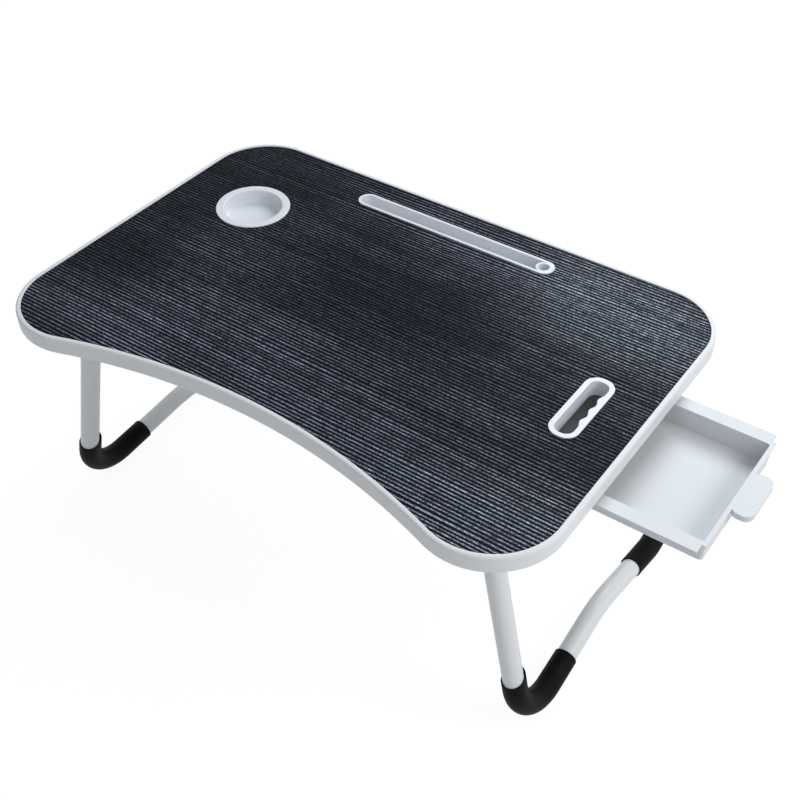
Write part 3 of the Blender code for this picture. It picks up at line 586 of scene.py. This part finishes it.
band_white = moulded_finish("band_white", (0.79, 0.80, 0.82), 0.42, 0.0016, 0.00002)
insert_white = moulded_finish("insert_white", (0.77, 0.79, 0.83), 0.34, 0.0022, 0.00001)
# The drawer's colour is set darker than the other whites: painted shade for the shadow inside the
# tray.
drawer_white = moulded_finish("drawer_white", (0.72, 0.74, 0.765), 0.44, 0.0009, 0.000006)
bracket_white = moulded_finish("bracket_white", (0.76, 0.78, 0.80), 0.46, 0.0009, 0.00001)
paint_white = moulded_finish("paint_white", (0.78, 0.80, 0.82), 0.32, 0.0030, 0.00003)
print("white finishes made")

# %% [markdown]
# ## Rubber and steel
#
# The foot covers are soft black rubber, a little dusty, with a fine matte grain. The pins and
# screws are zinc-plated steel: bright, slightly blue, and clouded where the plating is thin.

# %% Rubber and steel
cover_rubber, tree = new_finish("cover_rubber")
grain = tree.noise((1500.0, 1500.0, 1500.0), detail=2.0)
wear = tree.noise((45.0, 45.0, 45.0), detail=4.0, roughness=0.6)
dust = tree.ramp(wear, (0.45, 0.0), (0.75, 1.0))
black = tree.blend(dust * 0.6, rgb(0.0022, 0.0022, 0.0026), rgb(0.011, 0.011, 0.012))
surface(tree, {
    "Base Color": black,
    "Roughness": 0.46 + 0.16 * wear,
    "Normal": tree.bump(grain, 0.00002, 0.7),
    "Specular IOR Level": 0.06,
})

zinc_plate, tree = new_finish("zinc_plate")
clouds = tree.noise((420.0, 420.0, 420.0), detail=3.0)
plating = tree.blend(clouds, rgb(0.50, 0.52, 0.55), rgb(0.72, 0.73, 0.74))
surface(tree, {
    "Base Color": plating,
    "Metallic": 1.0,
    "Roughness": 0.24 + 0.22 * clouds,
    "Normal": tree.bump(clouds, 0.00002, 0.5),
})
print("rubber and steel made")

# %% [markdown]
# ## The edge band
#
# The band is a U-shaped plastic strip pressed on to the rim of the board. Its section has a web
# between two lips, with soft outer edges. The outline of the top is made of arcs: two corner
# radii and one large scoop that the front edge follows. Half of the strip is swept from the
# middle of the back edge to the middle of the scoop, and mirrored.

# %% Edge band
band_low, band_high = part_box("edge_band")
middle_x = (band_low.x + band_high.x) / 2
web, lip_reach, lip_thickness = 0.002, 0.005, 0.0012
outer_round, lip_round = 0.0025, 0.0005
back_corner_radius, front_corner_radius, scoop_radius = 0.067, 0.069, 0.630
back_steps, front_steps, scoop_steps = 20, 32, 24
upper, lower = band_high.z - lip_thickness, band_low.z + lip_thickness
section = [
    (0.0, band_high.z, outer_round),
    (lip_reach, band_high.z, lip_round),
    (lip_reach, upper, 0.0),
    (web, upper, 0.0),
    (web, lower, 0.0),
    (lip_reach, lower, 0.0),
    (lip_reach, band_low.z, lip_round),
    (0.0, band_low.z, outer_round),
]
back_corner = Vector((band_high.x - back_corner_radius, band_high.y - back_corner_radius, 0.0))
front_corner = Vector((band_high.x - front_corner_radius, band_low.y + front_corner_radius, 0.0))
corner_reach = front_corner.x - middle_x
scoop_drop = math.sqrt((scoop_radius + front_corner_radius) ** 2 - corner_reach**2)
scoop_centre = Vector((middle_x, front_corner.y - scoop_drop, 0.0))
scoop_start = math.atan2(scoop_drop, corner_reach)

bm = bmesh.new()
face = outline(bm, [((middle_x, band_high.y - reach, z), radius) for reach, z, radius in section])
edges = list(face.edges)
bmesh.ops.delete(bm, geom=[face], context="FACES_ONLY")
edges = run(bm, edges, (back_corner.x - middle_x, 0.0, 0.0))
edges = turn(bm, edges, back_corner, up, -math.pi / 2, back_steps)
edges = run(bm, edges, (0.0, front_corner.y - back_corner.y, 0.0))
edges = turn(bm, edges, front_corner, up, scoop_start - math.pi, front_steps)
turn(bm, edges, scoop_centre, up, math.pi / 2 - scoop_start, scoop_steps)
bm = mirrored(bm, "X", Matrix.Translation((-middle_x, 0.0, 0.0)))
new_piece("rim_strip", bm, "table", band_white, "white_edge_band", "edge_band")

# %% [markdown]
# ## The cup ring
#
# The cup ring is one turned shape: a flange that lies on the laminate, a wall that goes down
# through the board, and a floor. It is drawn as half of its section and spun. The fillet at the
# foot of the wall and the slight draft are what a mould needs to let such a part go.

# %% Cup ring
insert_flange, insert_floor = 0.0012, 0.0020
low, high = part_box("cup_holder")
flange_radius = (high.x - low.x) / 2
inner_radius, wall, wall_draft = 0.0310, 0.0018, 0.0004
edge_round, mouth_round, floor_fillet = 0.0008, 0.0010, 0.0025
cup_middle = (low + high) / 2
flange_bottom = high.z - insert_flange
half_section = [
    (0.0, low.z, 0.0),
    (inner_radius + wall, low.z, edge_round),
    (inner_radius + wall, flange_bottom, 0.0),
    (flange_radius, flange_bottom, 0.0),
    (flange_radius, high.z, edge_round),
    (inner_radius, high.z, mouth_round),
    (inner_radius - wall_draft, low.z + insert_floor, floor_fillet),
    (0.0, low.z + insert_floor, 0.0),
]
bm = moved(turned(half_section, steps=96), (cup_middle.x, cup_middle.y, 0.0))
new_piece("cup_ring", bm, "table", insert_white, "white_moulding", "cup_holder")

# %% [markdown]
# ## The slot
#
# The slot is a long closed trough with a flange round it, let into the board. It is built from
# three blocks with round ends: the flange, the body below it, and the hollow that is cut away. A
# round pillar with a small round hole in it stands at the right end.

# %% Slot
def long_block(low, high, margin, bottom, top, corner):
    """A block between two corners, drawn in by a margin, with rounded upright edges."""
    block_low = (low.x + margin, low.y + margin, bottom)
    block_high = (high.x - margin, high.y - margin, top)
    return block(block_low, block_high, corner - margin)


def pillar(centre, radius, low, high, sides=48):
    """An upright round bar."""
    bm = bmesh.new()
    bmesh.ops.create_circle(bm, cap_ends=True, radius=radius, segments=sides)
    moved(bm, (*centre, low))
    bm.faces.ensure_lookup_table()
    raised(bm, bm.faces[0], high - low)
    return bm


def cross_drill(radius, reach):
    """A round bar along Y, as long to each side of the origin as its reach."""
    bm = pillar((0.0, 0.0), radius, -reach, reach, sides=32)
    bmesh.ops.rotate(bm, verts=bm.verts, matrix=Matrix.Rotation(math.pi / 2, 3, "X"))
    return bm


slot_low, slot_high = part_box("tablet_slot")
slot_rim, slot_wall, past = 0.0030, 0.0013, 0.0010
pen_hole_radius, pen_ring_radius, slot_edge = 0.0058, 0.0084, 0.0006
slot_half = (slot_high.y - slot_low.y) / 2
round_end = slot_half - weld_distance / 4
flange_bottom = slot_high.z - insert_flange
trough_floor = slot_low.z + insert_floor
pen_place = (slot_high.x - slot_half, (slot_low.y + slot_high.y) / 2)

bm = long_block(slot_low, slot_high, 0.0, flange_bottom, slot_high.z, round_end)
body_margin, body_top = slot_rim - slot_wall, slot_high.z - past / 2
body = long_block(slot_low, slot_high, body_margin, slot_low.z, body_top, round_end)
bm = joined(bm, body)
trough = long_block(slot_low, slot_high, slot_rim, trough_floor, slot_high.z + past, round_end)
bm = cut_away(bm, trough)
pen_ring = pillar(pen_place, pen_ring_radius, trough_floor - past / 2, slot_high.z)
bm = joined(bm, pen_ring)
pen_hole = pillar(pen_place, pen_hole_radius, trough_floor, slot_high.z + past)
bm = cut_away(bm, pen_hole)
soften(bm, slot_edge, steps=3, wanted=lambda spot: spot.z > slot_high.z - past)
new_piece("slot_trough", settled(bm), "table", insert_white, "white_moulding", "tablet_slot")

# %% [markdown]
# ## The handle's lining
#
# The carry handle is an opening right through the board, with a lining of one section. Its
# outboard side has three bumps that the fingers rest between. The lining is made of a flange and
# a body like the slot, and its opening is cut by a tool that carries the bumps: a cosine wave on
# the points of one side of its face, before the face is pushed down through the board. The upper
# edge of the opening gets a wide round, so that it does not cut into the hand, and any point that
# the rounding lifts above the flange is set level with it.

# %% Handle lining
handle_low, handle_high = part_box("handle_insert")
handle_rim, handle_corner = 0.0050, 0.0130
bump_count, bump_pitch, bump_height, side_cuts = 3, 0.0165, 0.0025, 72
hand_round, flange_round = 0.0030, 0.0008
flange_bottom = handle_high.z - insert_flange

bm = long_block(handle_low, handle_high, 0.0, flange_bottom, handle_high.z, handle_corner)
body_margin, body_top = handle_rim - wall, handle_high.z - insert_flange / 2
body = long_block(handle_low, handle_high, body_margin, handle_low.z, body_top, handle_corner)
bm = joined(bm, body)

hollow = bmesh.new()
left, right = handle_low.x + handle_rim, handle_high.x - handle_rim
near, far = handle_low.y + handle_rim, handle_high.y - handle_rim
corners = [(left, near), (right, near), (right, far), (left, far)]
radius = handle_corner - handle_rim
face = outline(hollow, [((x, y, handle_high.z + past), radius) for x, y in corners])
outboard_x = right - weld_distance
outboard = [edge for edge in face.edges if min(point.co.x for point in edge.verts) > outboard_x]
bmesh.ops.subdivide_edges(hollow, edges=outboard, cuts=side_cuts)
half_span = bump_count * bump_pitch / 2
for point in hollow.verts:
    if point.co.x > outboard_x and abs(point.co.y) < half_span:
        phase = math.tau * (point.co.y + half_span) / bump_pitch
        point.co.x -= bump_height * (1 - math.cos(phase)) / 2
hollow.faces.ensure_lookup_table()
raised(hollow, hollow.faces[0], handle_low.z - handle_high.z - 2 * past)
bm = cut_away(bm, hollow)
middle = (handle_low + handle_high) / 2
half = (handle_high - handle_low) / 2


def is_mouth(spot):
    """Whether a point is on the upper edge of the opening."""
    away = (abs(spot.x - middle.x) - half.x, abs(spot.y - middle.y) - half.y)
    return spot.z > handle_high.z - weld_distance and max(away) < -handle_rim / 2


soften(bm, hand_round, steps=5, wanted=is_mouth)
soften(bm, flange_round, steps=3, wanted=lambda spot: spot.z > handle_high.z - weld_distance)
for point in bm.verts:
    point.co.z = min(point.co.z, handle_high.z)
new_piece("handle_lining", settled(bm), "table", insert_white, "white_moulding", "handle_insert")

# %% [markdown]
# ## The legs
#
# Each leg is one steel tube: down from the front bracket, round a bend to the floor, along it
# with a low rise in the middle, and up to the rear bracket. In the leg's own plane the centre
# line is made of straight runs that touch arcs, so every stretch follows from the centre of a
# bend and its radius. A circle is swept along half of it and mirrored, the wall is given its
# thickness inwards, and the pin holes are drilled. Then the leg is leaned outwards and moved to
# its pivot.

# %% The leg's centre line
hinges = [joint for joint in frame["joints"] if joint["type"] == "hinge"]
pivots = {joint["child"]: Vector(joint["pos_m"]) for joint in hinges}
leg_lean = math.radians(12.6)
pivot_spread, foot_splay, foot_height = 0.292573, 0.0070, 0.011573
leg_reach = (pivots["left_leg"].z - foot_height) / math.cos(leg_lean)
bend_radius, middle_rise, middle_radius = 0.0450, 0.0150, 0.1500
tube_radius, tube_wall, end_above_pivot = 0.0100, 0.0012, 0.0090
pin_hole_radius, bend_steps, middle_steps = 0.0033, 28, 6
across = (1.0, 0.0, 0.0)
bend_centre = Vector((0.0, bend_radius - pivot_spread / 2 - foot_splay, bend_radius - leg_reach))
crest = Vector((0.0, 0.0, middle_rise - leg_reach))
pivot_point = Vector((0.0, -pivot_spread / 2, 0.0))


def touch_angle(point, way):
    """The angle about the bend's centre at which a line from a point touches the bend."""
    away = point - bend_centre
    return math.atan2(away.z, away.y) + way * math.acos(bend_radius / away.length)


def bend_point(angle):
    """A point on the foot bend, by its angle about the bend's centre."""
    return bend_centre + Vector((0.0, bend_radius * math.cos(angle), bend_radius * math.sin(angle)))


def direction(heading):
    """The direction of the centre line at a heading."""
    return Vector((0.0, math.cos(heading), math.sin(heading)))


bend_start = touch_angle(pivot_point, 1)
bend_end = touch_angle(crest, -1) + math.tau
down = bend_start + math.pi / 2
rise = bend_end + math.pi / 2 - math.tau
middle_centre = crest - Vector((0.0, 0.0, middle_radius / math.cos(rise)))
middle_start = middle_centre + middle_radius * Vector((0.0, -math.sin(rise), math.cos(rise)))
top_end = pivot_point - end_above_pivot * direction(down)
bend_degrees = math.degrees(bend_end - bend_start)
print("leg reach, mm:", round(leg_reach * 1000, 2), "bend, degrees:", round(bend_degrees, 1))

# %% Leg tubes
def ring(bm, radius, place, heading, sides=48):
    """A circle of edges across the centre line."""
    made = bmesh.ops.create_circle(bm, radius=radius, segments=sides)
    tilt = Matrix.Rotation(heading - math.pi / 2, 3, "X")
    bmesh.ops.rotate(bm, verts=made["verts"], matrix=tilt)
    bmesh.ops.translate(bm, vec=place, verts=made["verts"])
    return each_once(edge for point in made["verts"] for edge in point.link_edges)


def hung(bm, side):
    """Leans a leg's shape outwards and moves it to its pivot."""
    lean = Matrix.Rotation(-side * leg_lean, 4, "Y")
    pivot = pivots["right_leg" if side > 0 else "left_leg"]
    bmesh.ops.transform(bm, matrix=Matrix.Translation(pivot) @ lean, verts=bm.verts)
    return bm


def leg_tube():
    """The bent tube about its pivot, with its wall and its two pin holes."""
    bm = bmesh.new()
    edges = ring(bm, tube_radius, top_end, down)
    edges = run(bm, edges, bend_point(bend_start) - top_end)
    edges = turn(bm, edges, bend_centre, across, bend_end - bend_start, bend_steps)
    edges = run(bm, edges, middle_start - bend_point(bend_end))
    turn(bm, edges, middle_centre, across, -rise, middle_steps)
    mirrored(bm, "Y", Matrix.Identity(4))
    bmesh.ops.solidify(bm, geom=bm.faces[:], thickness=tube_wall)
    return cut_away(bm, cross_drill(pin_hole_radius, reach=0.17))


for side, leg in ((-1, "left_leg"), (1, "right_leg")):
    bm = hung(leg_tube(), side)
    new_piece(leg + "_bent_tube", settled(bm), leg, paint_white, "white_paint", leg + "_tube")

# %% [markdown]
# ## The foot covers
#
# A rubber sleeve is pulled over each foot bend. It goes higher up the leg than it goes along the
# floor, and its upper mouth is cut on a slant. The sleeve is the same sweep as the tube with a
# larger circle. Its mouth rings are slanted by a shear along the centre line, and the wall is
# given its thickness inwards. Soft rubber gathers on the inside of a bend, so the outer skin is
# moved out there, most at the middle of the inside and less towards the lower mouth. The mouths
# are rounded as a moulded lip is.

# %% Foot covers
cover_radius, cover_wall, gathered = 0.01155, 0.00135, 0.0025
cover_up_leg, cover_past_bend = 0.0600, 0.0400
upper_slant = math.tan(math.radians(16.0))
mouth_run, mouth_lip = 0.0060, 0.0005


def slanted(points, centre, heading, slope):
    """Shears a mouth ring along the centre line, further on the inside of the bend."""
    along = direction(heading)
    outward = Vector((0.0, along.z, -along.y))
    for point in points:
        point.co += slope * (point.co - centre).dot(outward) * along


def gather(bm):
    """Thickens a sleeve's wall on the inside of the bend."""
    for point in bm.verts:
        arm = Vector((0.0, point.co.y, point.co.z)) - bend_centre
        angle = min(max(math.atan2(arm.z, arm.y) % math.tau, bend_start), bend_end)
        spoke = direction(angle)
        inside = max(bend_radius - arm.dot(spoke), 0.0)
        off_axis = math.hypot(bend_radius - arm.dot(spoke), point.co.x)
        skin = min(max((off_axis - cover_radius) / cover_wall + 1.0, 0.0), 1.0)
        beyond = max(arm.dot(direction(bend_end + math.pi / 2)), 0.0)
        share = (inside / cover_radius) ** 2 * skin * max(1.0 - beyond / cover_past_bend, 0.0)
        point.co -= gathered * share * spoke


def foot_cover():
    """A front foot's sleeve about the leg's pivot."""
    mouth_z = cover_up_leg - leg_reach
    bend_top = bend_point(bend_start)
    mouth = bend_top + direction(down) * ((mouth_z - bend_top.z) / math.sin(down))
    neck = mouth + direction(down) * mouth_run
    bm = bmesh.new()
    edges = ring(bm, cover_radius, mouth, down)
    slanted(bm.verts, mouth, down, upper_slant)
    edges = run(bm, edges, (0.0, 0.0, 0.0))
    points = each_once(point for edge in edges for point in edge.verts)
    bmesh.ops.translate(bm, vec=neck - mouth, verts=points)
    slanted(points, neck, down, -upper_slant)
    edges = run(bm, edges, bend_top - neck)
    edges = turn(bm, edges, bend_centre, across, bend_end - bend_start, bend_steps)
    last_y = bend_centre.y + cover_past_bend
    out = direction(bend_end + math.pi / 2)
    length = (last_y - bend_point(bend_end).y) / out.y
    edges = run(bm, edges, out * (length - mouth_run))
    edges = run(bm, edges, out * mouth_run)
    settled(bm)
    bmesh.ops.solidify(bm, geom=bm.faces[:], thickness=cover_wall)
    gather(bm)
    soften(bm, mouth_lip, steps=2, angle=60.0)
    return bm


for side, leg in ((-1, "left_leg"), (1, "right_leg")):
    for end in ("front", "rear"):
        bm = foot_cover()
        if end == "rear":
            bmesh.ops.scale(bm, vec=(1.0, -1.0, 1.0), verts=bm.verts)
        bm = settled(hung(bm, side))
        node = f"{leg}_{end}_foot_cover"
        new_piece(node.replace("cover", "sleeve"), bm, leg, cover_rubber, "black_rubber", node)

# %% [markdown]
# ## The drawer
#
# The drawer is a shallow moulded tray. It hangs between two rails by a flat flange along each
# side, and a pull tab with a short skirt stands out of its front wall. The tray is a block with
# its flanges joined on and its hollow cut out. The flanges are notched at the front, a small catch
# stands on each, and the edges are broken by 0.4 mm.

# %% Drawer tray
tray_low, tray_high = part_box("drawer_tray")
rim, flange_bottom, tray_bottom = 0.2585, 0.2563, tray_low.z
tab_reach, tray_y = 0.0180, 0.0045
front_x, back_x = tray_high.x - tab_reach, tray_low.x
flange_y, outer_y, inner_y = 0.0815, 0.0697, 0.0677
end_lip, wall_thickness, front_wall, floor_thickness = 0.0008, 0.0020, 0.0037, 0.0020
draft, tray_corner, hollow_corner, beyond = 0.0010, 0.0040, 0.0020, 0.0020
foot_round, edge_break = 0.0018, 0.0004

body_low = (back_x + end_lip, tray_y - outer_y, tray_bottom)
body_high = (front_x - end_lip, tray_y + outer_y, rim)
tray = block(body_low, body_high, tray_corner, draft)
soften(settled(tray), foot_round, steps=3, angle=70.0)
flange_low = (back_x, tray_y - flange_y, flange_bottom)
tray = joined(tray, block(flange_low, (front_x, tray_y + flange_y, rim), tray_corner))
hollow_low = (back_x + wall_thickness, tray_y - inner_y, tray_bottom + floor_thickness)
hollow_high = (front_x - front_wall, tray_y + inner_y, rim + beyond)
tray = cut_away(tray, block(hollow_low, hollow_high, hollow_corner, draft))

tab_shift, tab_drop, tab_root = 0.0025, 0.0004, 0.0004
tab_y, tab_half, tab_top = tray_y + tab_shift, 0.0270, rim - tab_drop
tab_skirt, tab_wall, tab_corner, under_corner = 0.0060, 0.0024, 0.0085, 0.0060
tab_low = (front_x - beyond, tab_y - tab_half, tab_top - tab_skirt)
tab_high = (front_x + tab_reach, tab_y + tab_half, tab_top)
tray = joined(tray, block(tab_low, tab_high, tab_corner))
under_low = (front_x + tab_root, tab_y - tab_half + tab_wall, tab_top - tab_skirt - beyond)
under_high = (front_x + tab_reach - tab_wall, tab_y + tab_half - tab_wall, tab_top - tab_wall)
tray = cut_away(tray, block(under_low, under_high, under_corner))

notch_reach, notch_back = 0.0095, front_x - front_wall
catch_length, catch_reach, catch_front = 0.0040, 0.0040, 0.165445
catch_proud, catch_root = 0.0006, 0.0011
for way in (-1, 1):
    reaches = (flange_y - notch_reach, flange_y + beyond)
    near, far = sorted(tray_y + way * reach for reach in reaches)
    notch_high = (front_x + beyond, far, rim + beyond)
    tray = cut_away(tray, block((notch_back, near, flange_bottom - beyond), notch_high))
    reaches = (flange_y - catch_reach, flange_y + catch_proud)
    near, far = sorted(tray_y + way * reach for reach in reaches)
    catch_low = (catch_front - catch_length, near, rim - catch_root)
    tray = joined(tray, block(catch_low, (catch_front, far, tray_high.z)))
soften(tray, edge_break, steps=2)
tray = settled(tray)
new_piece("tray_with_tab", tray, "drawer", drawer_white, "white_drawer_plastic", "drawer_tray")

# %% [markdown]
# ## The leg brackets
#
# A moulded bracket holds each end of a leg: a plate screwed to the board, two ears that the pin
# goes through, and a stop bar between them that the open leg leans on. It is drawn about its
# pivot, with the outboard side at +X. The ears are one outline in side view, pushed to their
# thickness. The left end's brackets are mirror images of the right end's. They hide under the
# top, so their edges are left as they are cut.

# %% Leg brackets
board_underside, seat_height = 0.2632, 0.2607
plate_top = board_underside - pivots["left_leg"].z
plate_low = seat_height - pivots["left_leg"].z
plate_inboard, plate_outboard, plate_half_y, plate_corner = 0.0200, 0.0220, 0.0225, 0.0046
ear_inner_y, ear_outer_y = 0.0112, 0.0137
stop_near, stop_far, stop_face, stop_back = 0.0140, 0.0240, 0.0103, 0.0129
ear_margin, overlap, screw_hole_radius = 0.0012, 0.001, 0.0019
ear_side, ear_foot, ear_round, ear_corner, ear_root = -0.0085, -0.0072, 0.0058, 0.0010, 0.0030
bar_corner = 0.0006
ear_back, ear_end = stop_back + ear_margin, stop_far + ear_margin


def leg_point(along, out, y):
    """A point by its distance along the open leg and outboard of it, from the pivot."""
    x = along * math.sin(leg_lean) + out * math.cos(leg_lean)
    z = out * math.sin(leg_lean) - along * math.cos(leg_lean)
    return (x, y, z)


def side_plate(corners, thickness):
    """An outline in side view pushed along Y."""
    bm = bmesh.new()
    pushed(bm, outline(bm, corners), (0.0, thickness, 0.0))
    return bm


def ear(y):
    """One ear, from its face nearer the front."""
    corners = [
        ((ear_side, y, plate_low + overlap), 0.0),
        ((ear_side, y, ear_foot), ear_round),
        (leg_point(ear_end, stop_face - ear_margin, y), ear_corner),
        (leg_point(ear_end, ear_back, y), ear_corner),
        (leg_point(stop_near, ear_back, y), ear_root),
        ((plate_outboard - ear_margin, y, plate_low + overlap), 0.0),
    ]
    return side_plate(corners, ear_outer_y - ear_inner_y)


def screw_spots():
    """Where a bracket's screws stand about its pivot."""
    for x in (plate_corner - plate_inboard, plate_outboard - plate_corner):
        for y in (plate_corner - plate_half_y, plate_half_y - plate_corner):
            yield (x, y)


def leg_bracket():
    """A bracket for the right end of the table, about its pivot."""
    low = (-plate_inboard, -plate_half_y, plate_low)
    high = (plate_outboard, plate_half_y, plate_top)
    bm = block(low, high, plate_corner)
    bm = joined(bm, ear(ear_inner_y))
    bm = joined(bm, ear(-ear_outer_y))
    reach = ear_inner_y + overlap
    inner_side = [(stop_near, stop_face), (stop_far, stop_face)]
    outer_side = [(stop_far, stop_back), (stop_near, stop_back)]
    spots = inner_side + outer_side
    bar = side_plate([(leg_point(*spot, -reach), bar_corner) for spot in spots], 2 * reach)
    bm = joined(bm, bar)
    bm = cut_away(bm, cross_drill(pin_hole_radius, reach=0.03))
    for spot in screw_spots():
        hole = pillar(spot, screw_hole_radius, plate_low - beyond, plate_top + beyond, sides=16)
        bm = cut_away(bm, hole)
    return bm


right_bracket = leg_bracket()
left_bracket = right_bracket.copy()
bmesh.ops.scale(left_bracket, vec=(-1.0, 1.0, 1.0), verts=left_bracket.verts)
bracket_spots = {}
for side, leg in ((-1, "left"), (1, "right")):
    for end, name in ((-1, "front"), (1, "rear")):
        spot = pivots[leg + "_leg"] + Vector((0.0, end * pivot_spread / 2, 0.0))
        bracket_spots[f"{leg}_{name}"] = (side, spot)
        bm = moved((right_bracket if side > 0 else left_bracket).copy(), spot)
        piece_name = f"{leg}_{name}_hinge_block"
        node = f"{leg}_{name}_leg_bracket"
        new_piece(piece_name, settled(bm), "table", bracket_white, "white_bracket_plastic", node)

# %% [markdown]
# ## The drawer rails
#
# Each rail is one moulded strip of Z section: a foot screwed to the board, a web, and a lip that
# the drawer's flange slides on. A wall at its inner end stops the drawer when it is shut, and a
# tooth at its front end stops it when it is full out.

# %% Drawer rails
rail_low, rail_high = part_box("rear_drawer_rail")
rail_thickness, lip_width, screw_inset = 0.0020, 0.0060, 0.0055
rail_edge, rail_bend, rail_root = 0.0004, 0.0010, 0.0006
web_y = rail_low.y + lip_width
lip_top = rail_low.z + rail_thickness
tooth_gap, ceiling_gap = 0.0005, 0.0008
tooth_low, ceiling = rim + tooth_gap, rail_high.z - ceiling_gap
tooth_length, tooth_reach, end_inset = 0.0040, 0.0040, 0.0004
rail_section = [
    (rail_low.y, rail_low.z, rail_edge),
    (web_y + rail_thickness, rail_low.z, rail_bend),
    (web_y + rail_thickness, rail_high.z - rail_thickness, rail_root),
    (rail_high.y, rail_high.z - rail_thickness, rail_edge),
    (rail_high.y, rail_high.z, rail_edge),
    (web_y, rail_high.z, rail_bend),
    (web_y, lip_top, rail_edge),
    (rail_low.y, lip_top, rail_edge),
]
screw_y = web_y + rail_thickness + screw_inset
screw_xs = [0.03945, 0.12460, 0.20975]


def rear_rail():
    """The rear rail in its place."""
    bm = bmesh.new()
    face = outline(bm, [((rail_low.x, y, z), radius) for y, z, radius in rail_section])
    pushed(bm, face, (rail_high.x - rail_low.x, 0.0, 0.0))
    near, far = web_y - tooth_reach, web_y + overlap
    wall_low = (rail_low.x + end_inset, near, lip_top - overlap)
    wall_high = (rail_low.x + rail_thickness, far, ceiling)
    bm = joined(bm, block(wall_low, wall_high))
    tooth_start = (rail_high.x - tooth_length, near, tooth_low)
    tooth_end = (rail_high.x - end_inset, far, ceiling)
    bm = joined(bm, block(tooth_start, tooth_end))
    for x in screw_xs:
        hole_low = rail_high.z - 2 * rail_thickness
        hole = pillar((x, screw_y), screw_hole_radius, hole_low, rail_high.z + beyond, sides=16)
        bm = cut_away(bm, hole)
    return bm


for end in ("rear", "front"):
    bm = rear_rail()
    if end == "front":
        bmesh.ops.scale(bm, vec=(1.0, -1.0, 1.0), verts=bm.verts)
        moved(bm, (0.0, 2 * tray_y, 0.0))
    name, node = end + "_slide_rail", end + "_drawer_rail"
    new_piece(name, settled(bm), "table", bracket_white, "white_bracket_plastic", node)

# %% [markdown]
# ## Pins and screws
#
# The pins that the legs turn on have a rounded head at each end. The screws are pan heads with a
# cross recess. Both are turned shapes, spun from half a section; the recess is cut by two thin
# blocks. One screw of each length is made and copied to its places, as they are bought alike.

# %% Pins
def pivot_pin():
    """A pin along Y about its middle."""
    half, head_radius, head_height, head_round = 0.0140, 0.0050, 0.0015, 0.0011
    shank_radius = 0.0030
    half_section = [
        (0.0, -half - head_height, 0.0),
        (head_radius, -half - head_height, head_round),
        (head_radius, -half, 0.0),
        (shank_radius, -half, 0.0),
        (shank_radius, half, 0.0),
        (head_radius, half, 0.0),
        (head_radius, half + head_height, head_round),
        (0.0, half + head_height, 0.0),
    ]
    bm = turned(half_section, steps=40)
    bmesh.ops.rotate(bm, verts=bm.verts, matrix=Matrix.Rotation(-math.pi / 2, 3, "X"))
    return bm


for place_name, (_, spot) in bracket_spots.items():
    bm = moved(pivot_pin(), spot)
    name, node = place_name + "_hinge_pin", place_name + "_pivot_pin"
    new_piece(name, bm, "table", zinc_plate, "zinc_steel", node)


def pan_screw(grip):
    """A pan-head screw driven upwards, with the seat of its head at nought."""
    head_radius, head_height, head_round = 0.0030, 0.0018, 0.0013
    shank_radius, gap, bite, point_length = 0.0015, 0.0003, 0.0080, 0.002
    cross_long, cross_wide, cross_depth = 0.0017, 0.0004, 0.0009
    tip = grip + gap + bite
    half_section = [
        (0.0, -gap - head_height, 0.0),
        (head_radius, -gap - head_height, head_round),
        (head_radius, -gap, 0.0),
        (shank_radius, -gap, 0.0),
        (shank_radius, tip - point_length, 0.0),
        (0.0, tip, 0.0),
    ]
    bm = turned(half_section, steps=32)
    for long_x, long_y in ((cross_long, cross_wide), (cross_wide, cross_long)):
        low = (-long_x, -long_y, -gap - head_height - overlap)
        high = (long_x, long_y, -gap - head_height + cross_depth)
        bm = cut_away(bm, block(low, high))
    return bm


def driven(screw, place, node, old_word, new_word):
    """A copy of a screw in its place, with a name of its own."""
    bm = settled(moved(screw.copy(), place))
    new_piece(node.replace(old_word, new_word), bm, "table", zinc_plate, "zinc_steel", node)


bracket_screw = pan_screw(grip=0.0025)
for place_name, (side, spot) in bracket_spots.items():
    for k, (x, y) in enumerate(screw_spots()):
        seat = (spot.x + side * x, spot.y + y, seat_height)
        driven(bracket_screw, seat, f"{place_name}_bracket_screw_{k + 1}", "bracket", "hinge")

rail_screw = pan_screw(grip=rail_thickness)
for end, way in (("front", -1), ("rear", 1)):
    for k, x in enumerate(screw_xs):
        seat = (x, tray_y + way * (screw_y - tray_y), rail_high.z - rail_thickness)
        driven(rail_screw, seat, f"{end}_rail_screw_{k + 1}", "rail", "slide")

# %% [markdown]
# ## Sizes
#
# The boxes of the imported model and of the finished table are printed side by side. The fine
# shapes must not make the table larger than the imported model is.

# %% Sizes
dressed_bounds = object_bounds()
sizes = {
    "packed": [list(corner) for corner in packed_bounds],
    "dressed": [list(corner) for corner in dressed_bounds],
}
for name, corners in sizes.items():
    print(name, "mm:", [[round(part * 1000, 2) for part in corner] for corner in corners])
